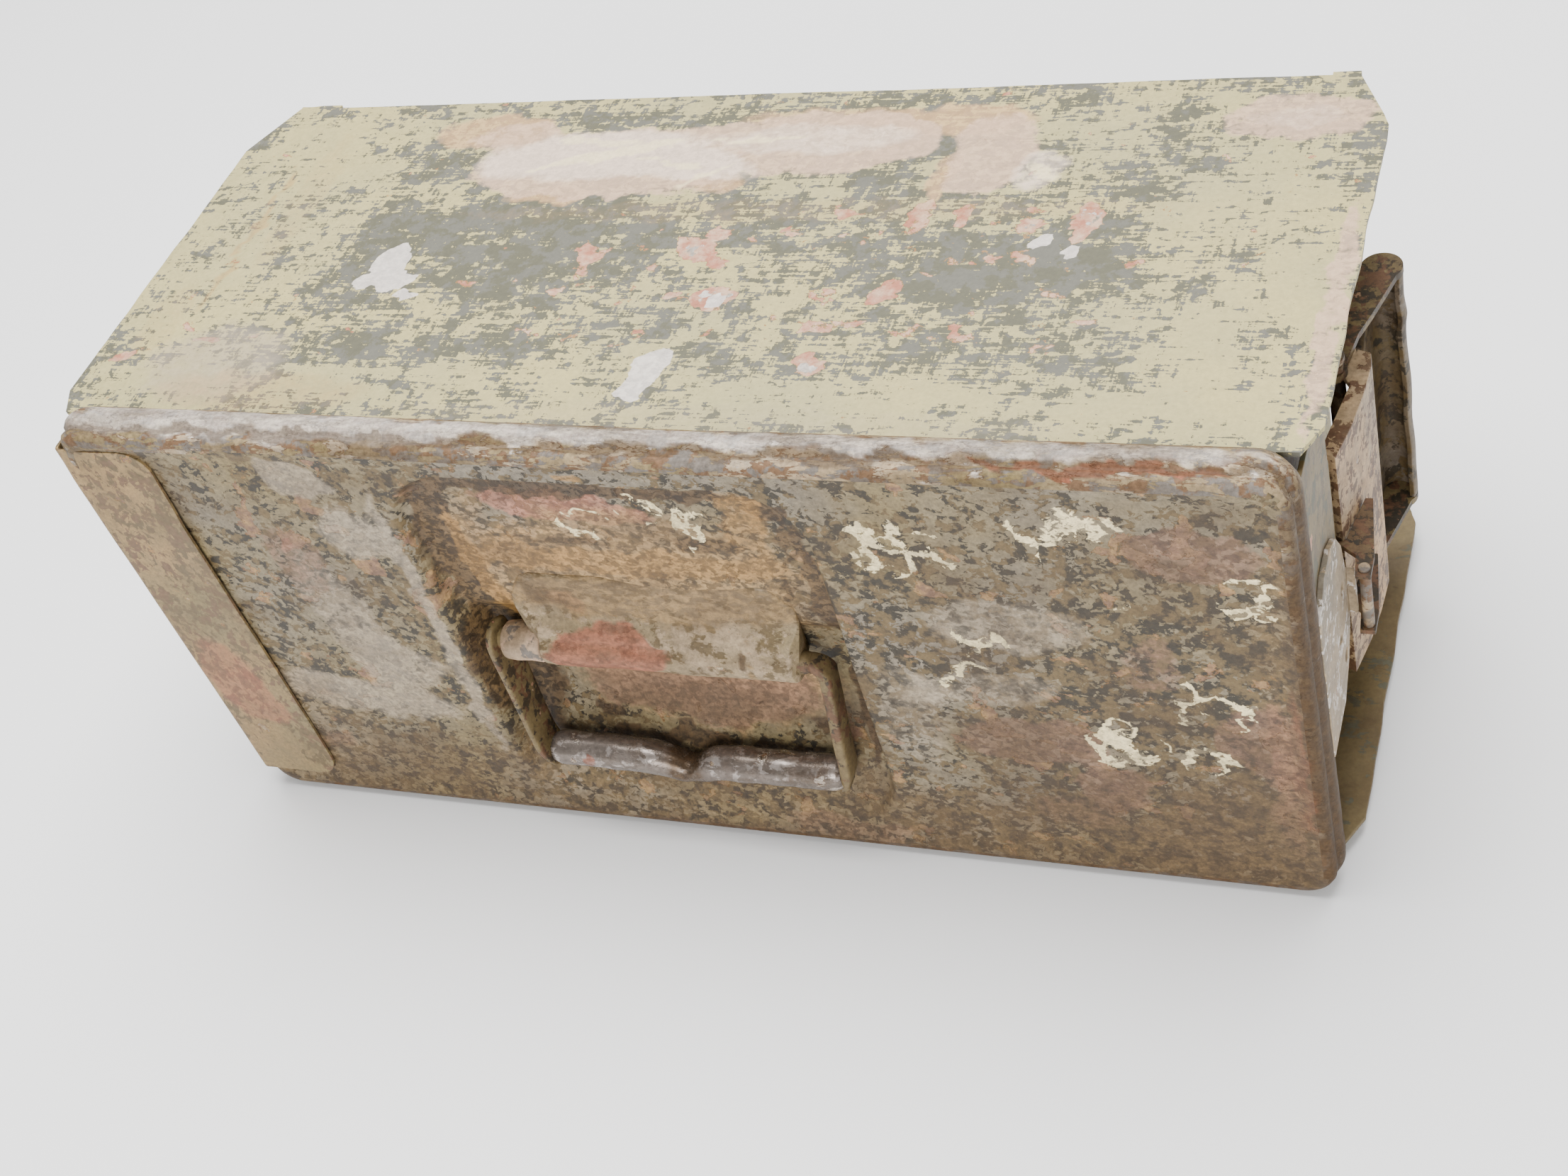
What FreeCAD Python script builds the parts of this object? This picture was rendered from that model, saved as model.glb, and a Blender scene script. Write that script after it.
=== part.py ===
import FreeCAD, Part
import os
import re
import Sketcher

# Pressed-steel tool box with a recessed carrying handle in its lid.
# It lies on one side plate: +Z is up, X runs along the lid from the hinge
# end to the latch end, and Y runs from the lid's face into the box.
# Every dimension below is in millimetres. The design axes start at the
# lid's lower left corner, and the finished pieces are shifted so that the
# origin is the centre of the bottom of the whole box.

V = FreeCAD.Vector
doc = FreeCAD.newDocument("ToolBox")
sheet = doc.addObject("Spreadsheet::Sheet", "Dims")

DIMENSIONS = {
    # lid pressing
    "lid_long": 374, "lid_wide": 171.6, "bead_deep": 9, "skirt_deep": 16,
    "bead_proud": 2.8, "lid_sheet": 1.6, "field_sunk": 1.5, "field_edge": 9,
    "lid_corner": 12, "bead_round": 4.2, "bead_back": 3.2,
    # handle pan pressed into the lid
    "pan_left": 111.5, "pan_right": 240.5, "pan_low": 14, "pan_high": 158,
    "pan_draft": 8, "pan_reach": 20, "pan_sheet": 1.6, "pan_corner": 22,
    "slope_top": 4, "slope_foot": 9.2, "pan_floor": 15.5,
    "step_high": 98, "step_low": 90, "floor_low": 58,
    # box body
    "plate_left": -9.5, "plate_right": 377, "plate_near": 16.4, "plate_far": 173.4,
    "plate_low": 5.6, "plate_high": 167, "plate_thick": 1.6,
    "near_run": 4.6, "near_rise": 9.6, "far_run": 10.9, "far_rise": 25.2,
    "tab_left": 16, "tab_right": 8, "tab_rise": 1.6,
    "wall_left": 18, "wall_right": 350, "wall_near": 18, "wall_far": 171.4,
    "wall_thick": 1.6, "wall_bend": 12, "neck_front": 6, "neck_back": 34,
    # lid seal
    "seal_wide": 8, "seal_thick": 2.4, "seal_out": 3.2,
    # hinge
    "hinge_x": -4.2, "hinge_y": 18, "hinge_out": 4.2, "hinge_pin": 2.5,
    "fit": 0.05, "hinge_low": 20, "knuckle": 26.4, "knuckle_gap": 0.4,
    "leaf_thick": 1.6, "leaf_wide": 31, "leaf_low": 11, "leaf_high": 166,
    "leaf_back": 13.4, "leaf_down": 64, "leaf_corner": 9,
    # carrying handle
    "grip_y": -0.5, "grip_z": 35, "grip_out": 6.8, "grip_wall": 1.6,
    "pivot_y": 7.2, "pivot_z": 83.5, "pivot_rod": 4, "barrel_out": 6.6,
    "arm_left": 121.5, "arm_right": 228.5, "arm_thick": 2.5,
    "barrel_left": 138.4, "barrel_right": 222, "collar_left": 124, "collar_out": 6.4,
    "rod_left": 119.6, "rod_right": 233,
    # latch end
    "latch_mid": 83, "skirt_out": 371.4, "apron_thick": 1.2, "hasp_thick": 1.6,
    "lever_x": 366, "lever_y": 88, "link_x": 364, "link_y": 108,
    "lever_pin": 3, "link_pin": 2.5, "link_half": 44, "link_sheet": 2,
    "arm_in": 44.5, "arm_sheet": 2.2, "ear_in": 47.2, "ear_sheet": 2,
    "grip_mid_x": 375, "grip_mid_y": 131, "grip_round": 6, "trough_sheet": 1.8,
    "lug_in": 10.5, "lug_sheet": 1.6, "hook_x": 379.6, "hook_y": 45, "hook_pin": 1.6,
    # shift from the design axes to the centre of the bottom
    "centre_x": 186.05, "centre_y": 83.05,
}

for row, (alias, value) in enumerate(DIMENSIONS.items(), start=1):
    sheet.set("A%d" % row, alias)
    sheet.set("B%d" % row, str(value))
    sheet.setAlias("B%d" % row, alias)
doc.recompute()


def linked(text):
    """An expression in which every dimension's name points at the sheet."""
    def point(match):
        word = match.group(0)
        return "Dims." + word if word in DIMENSIONS else word
    return re.sub(r"[a-z_]+", point, str(text))


def bind(item, prop, text):
    item.setExpression(prop, linked(text))


def value_of(text):
    """The number that a formula of dimensions has now."""
    total = 0.0
    for sign, word, number in re.findall(r"([+-]?)\s*(?:([a-z_]+)|([\d.]+))", str(text)):
        size = float(sheet.get(word)) if word else float(number)
        total += -size if sign == "-" else size
    return total


SPOTS = {}


def place(item, *spot):
    SPOTS[item.Name] = spot
    for axis, text in zip("xyz", spot):
        bind(item, "Placement.Base." + axis, text)


def block(name, x_from, x_to, y_from, y_to, z_from, z_to):
    item = doc.addObject("Part::Box", name)
    bind(item, "Length", "(%s) - (%s)" % (x_to, x_from))
    bind(item, "Width", "(%s) - (%s)" % (y_to, y_from))
    bind(item, "Height", "(%s) - (%s)" % (z_to, z_from))
    place(item, x_from, y_from, z_from)
    return item


TURNS = {
    "x": FreeCAD.Rotation(V(0, 1, 0), 90),
    "y": FreeCAD.Rotation(V(1, 0, 0), -90),
    "z": FreeCAD.Rotation(),
}


def rod(name, axis, start, end, across, radius):
    """A round bar along one axis; across holds its other two coordinates."""
    item = doc.addObject("Part::Cylinder", name)
    item.Placement = FreeCAD.Placement(V(), TURNS[axis])
    bind(item, "Radius", radius)
    bind(item, "Height", "(%s) - (%s)" % (end, start))
    spot = {"x": (start,) + across,
            "y": (across[0], start, across[1]),
            "z": across + (start,)}[axis]
    place(item, *spot)
    return item


def joined(name, items):
    item = doc.addObject("Part::MultiFuse", name)
    item.Shapes = items
    return item


def less(name, base, *tools):
    item = doc.addObject("Part::Cut", name)
    item.Base = base
    item.Tool = tools[0] if len(tools) == 1 else joined(name + "_away", list(tools))
    return item


def shared(name, one, other):
    item = doc.addObject("Part::Common", name)
    item.Base = one
    item.Tool = other
    return item


def rounded(name, base, radius, wanted):
    """A fillet on every edge of the base that the test picks."""
    doc.recompute()
    size = value_of(radius)
    item = doc.addObject("Part::Fillet", name)
    item.Base = base
    edges = base.Shape.Edges
    item.Edges = [(i, size, size) for i, edge in enumerate(edges, start=1) if wanted(edge)]
    return item


def along(axis):
    """Picks the straight edges that run along one axis."""
    def test(edge):
        ends = [vertex.Point for vertex in edge.Vertexes]
        if len(ends) != 2:
            return False
        way = ends[1] - ends[0]
        others = [abs(getattr(way, other)) for other in "xyz" if other != axis]
        return max(others) < 1e-6 and abs(getattr(way, axis)) > 1e-6
    return test


def at_depth(y):
    """Picks the edges that lie in the plane at one depth."""
    def test(edge):
        box = edge.BoundBox
        return abs(box.YMin - y) < 1e-4 and abs(box.YMax - y) < 1e-4
    return test


PLANES = {"z": "XY_Plane", "x": "YZ_Plane", "y": "XZ_Plane"}


def profile(name, axis, points, start, end):
    """A sheet part: a dimensioned outline padded along one axis."""
    body = doc.addObject("PartDesign::Body", name)
    sketch = body.newObject("Sketcher::SketchObject", name + "_outline")
    plane = [o for o in body.Origin.OriginFeatures if o.Role == PLANES[axis]][0]
    sketch.AttachmentSupport = [(plane, "")]
    sketch.MapMode = "FlatFace"
    spots = [V(value_of(a), value_of(b), 0) for a, b in points]
    count = len(points)
    for i in range(count):
        sketch.addGeometry(Part.LineSegment(spots[i], spots[(i + 1) % count]))
    for i in range(count):
        sketch.addConstraint(Sketcher.Constraint("Coincident", i, 2, (i + 1) % count, 1))
    for i, pair in enumerate(points):
        for kind, size, text in zip(("DistanceX", "DistanceY"), spots[i], pair):
            index = sketch.addConstraint(Sketcher.Constraint(kind, i, 1, size))
            bind(sketch, "Constraints[%d]" % index, text)
    pad = body.newObject("PartDesign::Pad", name + "_sheet")
    pad.Profile = sketch
    bind(pad, "Length", "(%s) - (%s)" % (end, start))
    bind(sketch, "AttachmentOffset.Base.z", start)
    return body


PIECES = []


def finish(item, label):
    """Names a finished piece and sets it in the box's own frame."""
    item.Label = label
    x, y, z = SPOTS.get(item.Name, ("0", "0", "0"))
    place(item, "(%s) - centre_x" % x, "(%s) - centre_y" % y, z)
    PIECES.append(item)


# ---- box body -------------------------------------------------------------

def side_plate(label, low, high):
    """One flat side plate with cut corners, a little longer at the back tabs."""
    points = [
        ("plate_left + near_run", "plate_near"),
        ("plate_right - near_run", "plate_near"),
        ("plate_right", "plate_near + near_rise"),
        ("plate_right", "plate_far - far_rise"),
        ("plate_right - far_run", "plate_far"),
        ("plate_right - far_run - tab_right", "plate_far"),
        ("plate_right - far_run - tab_right - tab_rise", "plate_far - tab_rise"),
        ("plate_left + far_run + tab_left + tab_rise", "plate_far - tab_rise"),
        ("plate_left + far_run + tab_left", "plate_far"),
        ("plate_left + far_run", "plate_far"),
        ("plate_left", "plate_far - far_rise"),
        ("plate_left", "plate_near + near_rise"),
    ]
    finish(profile(label + "_body", "z", points, low, high), label)


side_plate("side_plate_lower", "plate_low", "plate_low + plate_thick")
side_plate("side_plate_upper", "plate_high - plate_thick", "plate_high")

# The two ends and the bottom are one sheet bent round, between the plates.
inner_low = "plate_low + plate_thick"
inner_high = "plate_high - plate_thick"
wrap_block = block("wrap_block", "wall_left", "wall_right", "wall_near", "wall_far",
                   inner_low, inner_high)
wrap_outer = rounded("wrap_outer", wrap_block, "wall_bend",
                     lambda e: along("z")(e) and e.BoundBox.YMin > value_of("wall_far") - 1)
wrap_room = block("wrap_room", "wall_left + wall_thick", "wall_right - wall_thick",
                  "wall_near - 1", "wall_far - wall_thick", "plate_low", "plate_high")
wrap_inner = rounded("wrap_inner", wrap_room, "wall_bend - wall_thick",
                     lambda e: along("z")(e) and e.BoundBox.YMin > value_of("wall_far") - 9)
finish(less("wrap", wrap_outer, wrap_inner), "end_and_bottom_wrap")

# The mouth is a neck that stands into the lid and meets the seal.
neck_outer = block("neck_outer", "wall_left + wall_thick", "wall_right - wall_thick",
                   "neck_front", "neck_back", inner_low, inner_high)
neck_inner = block("neck_inner", "wall_left + 2 * wall_thick", "wall_right - 2 * wall_thick",
                   "neck_front - 1", "neck_back + 1",
                   inner_low + " + wall_thick", inner_high + " - wall_thick")
finish(less("neck", neck_outer, neck_inner), "mouth_neck")

# ---- lid pressing ---------------------------------------------------------

bead_block = block("bead_block", "0", "lid_long", "0", "bead_deep", "0", "lid_wide")
bead_plan = rounded("bead_plan", bead_block, "lid_corner", along("y"))
bead_front = rounded("bead_front", bead_plan, "bead_round", at_depth(0.0))
bead = rounded("bead", bead_front, "bead_back", at_depth(value_of("bead_deep")))
skirt_block = block("skirt_block", "bead_proud", "lid_long - bead_proud", "bead_deep - 5",
                    "skirt_deep", "bead_proud", "lid_wide - bead_proud")
skirt = rounded("skirt", skirt_block, "lid_corner - bead_proud", along("y"))
inside = "bead_proud + lid_sheet"
hollow_block = block("hollow_block", inside, "lid_long - bead_proud - lid_sheet",
                     "field_sunk + lid_sheet", "skirt_deep + 1",
                     inside, "lid_wide - bead_proud - lid_sheet")
hollow = rounded("hollow", hollow_block, "lid_corner - bead_proud - lid_sheet", along("y"))
field_block = block("field_block", "field_edge", "lid_long - field_edge", "-1", "field_sunk",
                    "field_edge", "lid_wide - field_edge")
field = rounded("field", field_block, "lid_corner - bead_proud - lid_sheet", along("y"))


def pan(name, grow):
    """The handle pan as a solid: a sloped floor inside a tapered, round-cornered mouth."""
    floor = [
        ("-2", "pan_high + 4"),
        ("field_sunk" + grow, "pan_high + 4"),
        ("slope_top" + grow, "pan_high - 6"),
        ("slope_foot" + grow, "step_high"),
        ("pan_floor" + grow, "step_low"),
        ("pan_floor" + grow, "floor_low"),
        ("field_sunk" + grow, "pan_low + 1"),
        ("field_sunk" + grow, "pan_low - 4"),
        ("-2", "pan_low - 4"),
    ]
    section = profile(name + "_section", "x", floor, "pan_left - 5", "pan_right + 5")
    mouth = doc.addObject("Part::Wedge", name + "_mouth")
    bind(mouth, "Xmin", "pan_left" + grow.replace("+", "-"))
    bind(mouth, "Xmax", "pan_right" + grow)
    bind(mouth, "Zmin", "pan_low" + grow.replace("+", "-"))
    bind(mouth, "Zmax", "pan_high" + grow)
    mouth.Ymin = 0
    bind(mouth, "Ymax", "pan_reach")
    bind(mouth, "X2min", "pan_left + pan_draft" + grow.replace("+", "-"))
    bind(mouth, "X2max", "pan_right - pan_draft" + grow)
    bind(mouth, "Z2min", "pan_low + pan_draft" + grow.replace("+", "-"))
    bind(mouth, "Z2max", "pan_high - pan_draft" + grow)
    soft = rounded(name + "_soft", mouth, "pan_corner",
                   lambda e: e.BoundBox.YLength > value_of("pan_reach") - 1)
    return shared(name, section, soft)


pan_outer = pan("pan_outer", " + pan_sheet")
pan_inner = pan("pan_inner", " + 0")
pan_front = block("pan_front", "pan_left - 9", "pan_right + 9", "-3", "field_sunk",
                  "pan_low - 9", "pan_high + 9")
pan_shell = less("pan_shell", pan_outer, pan_front)
shell = less("shell", joined("shell_solid", [bead, skirt]), hollow, field)
lid = less("lid", joined("lid_solid", [shell, pan_shell]), pan_inner)
finish(lid, "lid_shell")

seal_outer = block("seal_outer", "wall_left + wall_thick - seal_out",
                   "wall_right - wall_thick + seal_out",
                   "field_sunk + lid_sheet", "field_sunk + lid_sheet + seal_thick",
                   "plate_low - 0.6", "plate_high + 0")
seal_inner = block("seal_inner", "wall_left + wall_thick - seal_out + seal_wide",
                   "wall_right - wall_thick + seal_out - seal_wide",
                   "0", "skirt_deep",
                   "plate_low + 6", "plate_high - 6")
finish(less("seal", seal_outer, seal_inner), "lid_seal")

# ---- hinge at the left end ------------------------------------------------

axle = ("hinge_x", "hinge_y")


def knuckle_span(number):
    """Lower and upper end of one of the five hinge knuckles."""
    low = "hinge_low + %d * knuckle + knuckle_gap" % number
    return low, low.replace("%d *" % number, "%d *" % (number + 1), 1) + " - knuckle_gap"


def knuckles(name, numbers):
    return [rod(name + str(n), "z", *knuckle_span(n), axle, "hinge_out") for n in numbers]


strap_block = block("strap_block", "-leaf_thick", "leaf_wide", "-leaf_thick", "0",
                    "leaf_low", "leaf_high")
strap = rounded("strap", strap_block, "leaf_corner",
                lambda e: along("y")(e) and e.BoundBox.XMin > 20)
strap_side = block("strap_side", "-leaf_thick", "0", "-leaf_thick", "leaf_back",
                   "leaf_low", "leaf_high")
lid_webs = [block("lid_web%d" % n, "-leaf_thick", "0", "leaf_back - 1", "hinge_y",
                  *knuckle_span(n)) for n in (0, 2, 4)]
lid_leaf = joined("lid_leaf_solid", [strap, strap_side] + lid_webs + knuckles("lid_knuckle", (0, 2, 4)))
lid_bore = rod("lid_bore", "z", "0", "lid_wide", axle, "hinge_pin + fit")
finish(less("lid_leaf", lid_leaf, lid_bore), "hinge_leaf_lid")

leaf_y = "hinge_y + hinge_out - leaf_thick"
body_webs = [block("body_web%d" % n, "hinge_x", "wall_left", leaf_y, "hinge_y + hinge_out",
                   *knuckle_span(n)) for n in (1, 3)]
body_pad = block("body_pad", "wall_left - leaf_thick", "wall_left", leaf_y, "leaf_down",
                 "hinge_low + knuckle + knuckle_gap", "hinge_low + 4 * knuckle")
body_leaf = joined("body_leaf_solid", body_webs + [body_pad] + knuckles("body_knuckle", (1, 3)))
body_bore = rod("body_bore", "z", "0", "lid_wide", axle, "hinge_pin")
finish(less("body_leaf", body_leaf, body_bore), "hinge_leaf_body")

pin_shank = rod("pin_shank", "z", "hinge_low - 0.6", "hinge_low + 5 * knuckle + 1", axle, "hinge_pin")
pin_head = rod("pin_head", "z", "hinge_low - 2.6", "hinge_low - 0.6", axle, "hinge_pin + 1")
finish(joined("pin", [pin_shank, pin_head]), "hinge_pin")

# ---- carrying handle in the pan -------------------------------------------

pivot = ("pivot_y", "pivot_z")
barrel_tube = rod("barrel_tube", "x", "barrel_left", "barrel_right", pivot, "barrel_out")
barrel_back = profile("barrel_back", "x", [
    ("pan_floor", "pivot_z - 7"),
    ("pan_floor", "step_low"),
    ("slope_foot", "step_high"),
    ("slope_foot - 2", "step_high"),
    ("pivot_y - 4", "pivot_z + 5"),
    ("pivot_y", "pivot_z - 6"),
], "barrel_left", "barrel_right")
barrel_bore = rod("barrel_bore", "x", "pan_left", "pan_right", pivot, "pivot_rod + fit")
finish(less("barrel", joined("barrel_solid", [barrel_tube, barrel_back]), barrel_bore),
       "handle_barrel_strap")


def handle_arm(label, start):
    """One flat arm, from its eye on the pivot rod to its eye on the grip."""
    end = start + " + arm_thick"
    web = profile(label + "_web", "x", [
        ("pivot_y + 6", "pivot_z"),
        ("pivot_y - 6", "pivot_z"),
        ("grip_y - 5.6", "grip_z"),
        ("grip_y + 5.6", "grip_z"),
    ], start, end)
    eyes = [rod(label + "_top", "x", start, end, pivot, "barrel_out"),
            rod(label + "_foot", "x", start, end, ("grip_y", "grip_z"), "grip_out")]
    hole = rod(label + "_hole", "x", start + " - 1", end + " + 1", pivot, "pivot_rod")
    finish(less(label + "_cut", joined(label + "_solid", [web] + eyes), hole), label)


handle_arm("handle_arm_left", "arm_left")
handle_arm("handle_arm_right", "arm_right")
finish(rod("pivot_bar", "x", "rod_left", "rod_right", pivot, "pivot_rod"), "handle_pivot_rod")
collar_tube = rod("collar_tube", "x", "collar_left", "barrel_left - 0.4", pivot, "collar_out")
collar_hole = rod("collar_hole", "x", "pan_left", "pan_right", pivot, "pivot_rod")
finish(less("collar", collar_tube, collar_hole), "handle_collar")
grip_line = ("grip_y", "grip_z")
grip_tube = rod("grip_tube", "x", "arm_left + arm_thick", "arm_right", grip_line, "grip_out")
grip_room = rod("grip_room", "x", "arm_left", "arm_right + 1", grip_line, "grip_out - grip_wall")
finish(less("grip", grip_tube, grip_room), "handle_grip")

# ---- latch end: plates on the lid -----------------------------------------

finish(profile("apron_body", "x", [
    ("bead_deep + 0.4", "58"),
    ("26", "58"),
    ("44", "74"),
    ("46", "120"),
    ("45", "160"),
    ("bead_deep + 0.4", "160"),
], "skirt_out - 0.2", "skirt_out + apron_thick"), "end_apron")
doc.recompute()

hasp_low = "skirt_out + apron_thick"
hasp_high = "skirt_out + apron_thick + hasp_thick"
hasp_plate = profile("hasp_outline", "x", [
    ("bead_deep + 0.6", "latch_mid - 27"),
    ("30", "latch_mid - 27"),
    ("40", "latch_mid - 20"),
    ("47", "latch_mid - 9"),
    ("47", "latch_mid + 9"),
    ("44", "latch_mid + 22"),
    ("38", "latch_mid + 31"),
    ("30", "latch_mid + 35"),
    ("20", "latch_mid + 35"),
    ("bead_deep + 0.6", "latch_mid + 28"),
], hasp_low, hasp_high)
hasp_lip = block("hasp_lip", hasp_low, hasp_high + " + 2.2", "47", "48.6",
                 "latch_mid - 8.5", "latch_mid + 8.5")
hasp_holes = [rod("hasp_hole%d" % n, "x", hasp_low + " - 1", hasp_high + " + 1",
                  (depth, "latch_mid" + rise), "2.1")
              for n, (depth, rise) in enumerate((("40", " + 9"), ("32", " - 4"), ("37", " - 15")))]
finish(less("hasp", joined("hasp_solid", [hasp_plate, hasp_lip]), *hasp_holes), "hasp_plate")

# ---- latch end: bracket, lever and link on the box ------------------------

lever_axle = ("lever_x", "lever_y")
link_axle = ("link_x", "link_y")


def mirrored(name, make):
    """The same piece above and below the middle of the latch."""
    return [make(name + "_up", 1), make(name + "_down", -1)]


def spans(side, near, far):
    """From near to far off the latch's middle, on one side of it."""
    if side > 0:
        return "latch_mid + %s" % near, "latch_mid + %s" % far
    return "latch_mid - (%s)" % far, "latch_mid - (%s)" % near


def ear(name, side):
    return profile(name, "z", [
        ("wall_right + 2", "lever_y - 11"),
        ("lever_x", "lever_y - 6"),
        ("lever_x + 4.5", "lever_y - 3"),
        ("lever_x + 4.5", "lever_y + 3"),
        ("lever_x", "lever_y + 6"),
        ("wall_right + 2", "lever_y + 11"),
    ], *spans(side, "ear_in", "ear_in + ear_sheet"))


bracket_base = block("bracket_base", "wall_right", "wall_right + 2", "lever_y - 15", "lever_y + 27",
                     "latch_mid - ear_in - ear_sheet", "latch_mid + ear_in + ear_sheet")
bracket_bore = rod("bracket_bore", "z", "plate_low", "plate_high", lever_axle, "lever_pin")
finish(less("bracket", joined("bracket_solid", [bracket_base] + mirrored("ear", ear)), bracket_bore),
       "latch_bracket")


def stub(name, side):
    low, high = spans(side, "arm_in - 0.2", "ear_in + ear_sheet + 1")
    head_low, head_high = spans(side, "ear_in + ear_sheet", "ear_in + ear_sheet + 1.6")
    return joined(name, [rod(name + "_shank", "z", low, high, lever_axle, "lever_pin"),
                         rod(name + "_head", "z", head_low, head_high, lever_axle, "lever_pin + 1.8")])


finish(joined("stubs", mirrored("stub", stub)), "lever_pivot_rivets")


def lever_arm(label, side):
    low, high = spans(side, "arm_in", "arm_in + arm_sheet")
    web = profile(label + "_web", "z", [
        ("lever_x - 4", "lever_y - 4"),
        ("lever_x + 4", "lever_y - 4"),
        ("lever_x + 6.5", "lever_y + 14"),
        ("lever_x + 9", "lever_y + 22"),
        ("lever_x + 14.6", "lever_y + 43"),
        ("lever_x + 3.6", "lever_y + 43"),
        ("lever_x - 6", "lever_y + 25"),
        ("lever_x - 6", "lever_y + 4"),
    ], low, high)
    eye = rod(label + "_eye", "z", low, high, lever_axle, "lever_pin + 2.4")
    bore = rod(label + "_bore", "z", "plate_low", "plate_high", lever_axle, "lever_pin + fit")
    hole = rod(label + "_hole", "z", "plate_low", "plate_high", link_axle, "link_pin")
    end = rod(label + "_end", "z", low, high, ("grip_mid_x", "grip_mid_y"), "grip_round")
    finish(less(label + "_cut", joined(label + "_solid", [web, eye, end]), bore, hole), label)


lever_arm("lever_arm_upper", 1)
lever_arm("lever_arm_lower", -1)
grip_spot = ("grip_mid_x", "grip_mid_y")
trough_low = "latch_mid - arm_in"
trough_high = "latch_mid + arm_in"
trough_bar = rod("trough_bar", "z", trough_low, trough_high, grip_spot, "grip_round")
trough_room = rod("trough_room", "z", trough_low + " - 1", trough_high + " + 1", grip_spot,
                  "grip_round - trough_sheet")
trough_front = block("trough_front", "grip_mid_x - 9", "grip_mid_x + 9", "grip_mid_y - 9",
                     "grip_mid_y - 1.5", trough_low + " - 1", trough_high + " + 1")
finish(less("trough", trough_bar, trough_room, trough_front), "lever_grip")
pin_half = "arm_in + arm_sheet"
link_shank = rod("link_shank", "z", "latch_mid - arm_in - arm_sheet - 1.2",
                 "latch_mid + arm_in + arm_sheet + 1.2", link_axle, "link_pin")
link_heads = [rod("link_head%d" % (side + 1), "z", *spans(side, pin_half, pin_half + " + 1.2"),
                  link_axle, "link_pin + 1.3") for side in (1, -1)]
finish(joined("link_pin_solid", [link_shank] + link_heads), "link_pin")


def cheek(name, side):
    return profile(name, "z", [
        ("link_x - 4", "link_y - 5"),
        ("link_x - 4", "link_y + 4"),
        ("link_x + 4", "link_y + 4"),
        ("link_x + 8.5", "link_y - 11"),
        ("link_x + 12.2", "link_y - 12"),
        ("link_x + 11.2", "link_y - 30"),
        ("link_x + 8", "link_y - 52"),
        ("link_x + 4", "link_y - 52"),
        ("link_x + 8.4", "link_y - 24"),
    ], *spans(side, "link_half - link_sheet", "link_half"))


link_web = profile("link_web", "z", [
    ("370.4", "56"), ("372.6", "55"), ("375.2", "68"), ("376.6", "80"), ("377.2", "92"), ("376.4", "97"),
    ("372.5", "98.4"), ("372.2", "96.6"), ("374.4", "95.6"), ("375", "91"), ("374.4", "80"), ("373.1", "69"),
], "latch_mid - link_half", "latch_mid + link_half")
link_bore = rod("link_bore", "z", "plate_low", "plate_high", link_axle, "link_pin + fit")
finish(less("link", joined("link_solid", [link_web] + mirrored("cheek", cheek)), link_bore), "latch_link_plate")


def lug(name, side):
    return profile(name, "z", [
        ("370.8", "54.4"),
        ("376.6", "50"),
        ("377.4", "42.4"),
        ("381.6", "42.4"),
        ("381.6", "50"),
        ("378.4", "72"),
        ("376.2", "72"),
        ("373.2", "56"),
    ], *spans(side, "lug_in", "lug_in + lug_sheet"))


hook_spot = ("hook_x", "hook_y")
hook_hole = rod("hook_hole", "z", "plate_low", "plate_high", hook_spot, "hook_pin")
lug_pair = less("lug_pair", joined("lugs", mirrored("lug", lug)), hook_hole)
finish(less("lug_clear", lug_pair, link_web), "link_lugs")
finish(rod("hook_bar", "z", "latch_mid - lug_in - lug_sheet - 0.8",
           "latch_mid + lug_in + lug_sheet + 0.8", hook_spot, "hook_pin"), "hook_cross_pin")

doc.recompute()
for item in doc.Objects:
    if "Invalid" in item.State or "Error" in item.State:
        raise RuntimeError("%s: %s" % (item.Name, item.State))
whole = FreeCAD.BoundBox()
for item in PIECES:
    if item.Shape.isNull() or not item.Shape.isValid() or item.Shape.Volume <= 0:
        raise RuntimeError("bad shape: " + item.Label)
    whole.add(item.Shape.BoundBox)
os.makedirs("parts", exist_ok=True)
for item in PIECES:
    item.Shape.exportStep("parts/%s.step" % item.Label)
    print("%-22s %10.1f mm3, %d solid(s)" % (item.Label, item.Shape.Volume, len(item.Shape.Solids)))
print("box X %.2f..%.2f Y %.2f..%.2f Z %.2f..%.2f" % (
    whole.XMin, whole.XMax, whole.YMin, whole.YMax, whole.ZMin, whole.ZMax))
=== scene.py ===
"""Looks of the pressed-steel tool box: worn paint over steel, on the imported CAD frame."""

import math

import bmesh
import bpy
import numpy as np
from mathutils import Euler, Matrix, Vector, noise


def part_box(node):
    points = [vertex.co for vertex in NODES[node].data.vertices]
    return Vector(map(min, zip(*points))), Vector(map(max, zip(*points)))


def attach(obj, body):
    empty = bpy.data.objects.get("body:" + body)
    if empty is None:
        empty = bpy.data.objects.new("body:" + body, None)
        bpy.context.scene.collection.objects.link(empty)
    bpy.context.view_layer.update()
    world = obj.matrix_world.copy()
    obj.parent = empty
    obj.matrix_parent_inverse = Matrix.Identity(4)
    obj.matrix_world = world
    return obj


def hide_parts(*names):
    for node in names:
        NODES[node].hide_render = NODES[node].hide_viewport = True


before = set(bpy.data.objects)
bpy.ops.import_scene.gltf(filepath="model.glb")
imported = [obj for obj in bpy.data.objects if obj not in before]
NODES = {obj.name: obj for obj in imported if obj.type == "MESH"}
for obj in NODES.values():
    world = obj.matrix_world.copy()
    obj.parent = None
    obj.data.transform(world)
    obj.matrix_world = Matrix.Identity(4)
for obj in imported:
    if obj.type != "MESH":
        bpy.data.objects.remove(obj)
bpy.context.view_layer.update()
SCENE = bpy.context.scene

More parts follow.
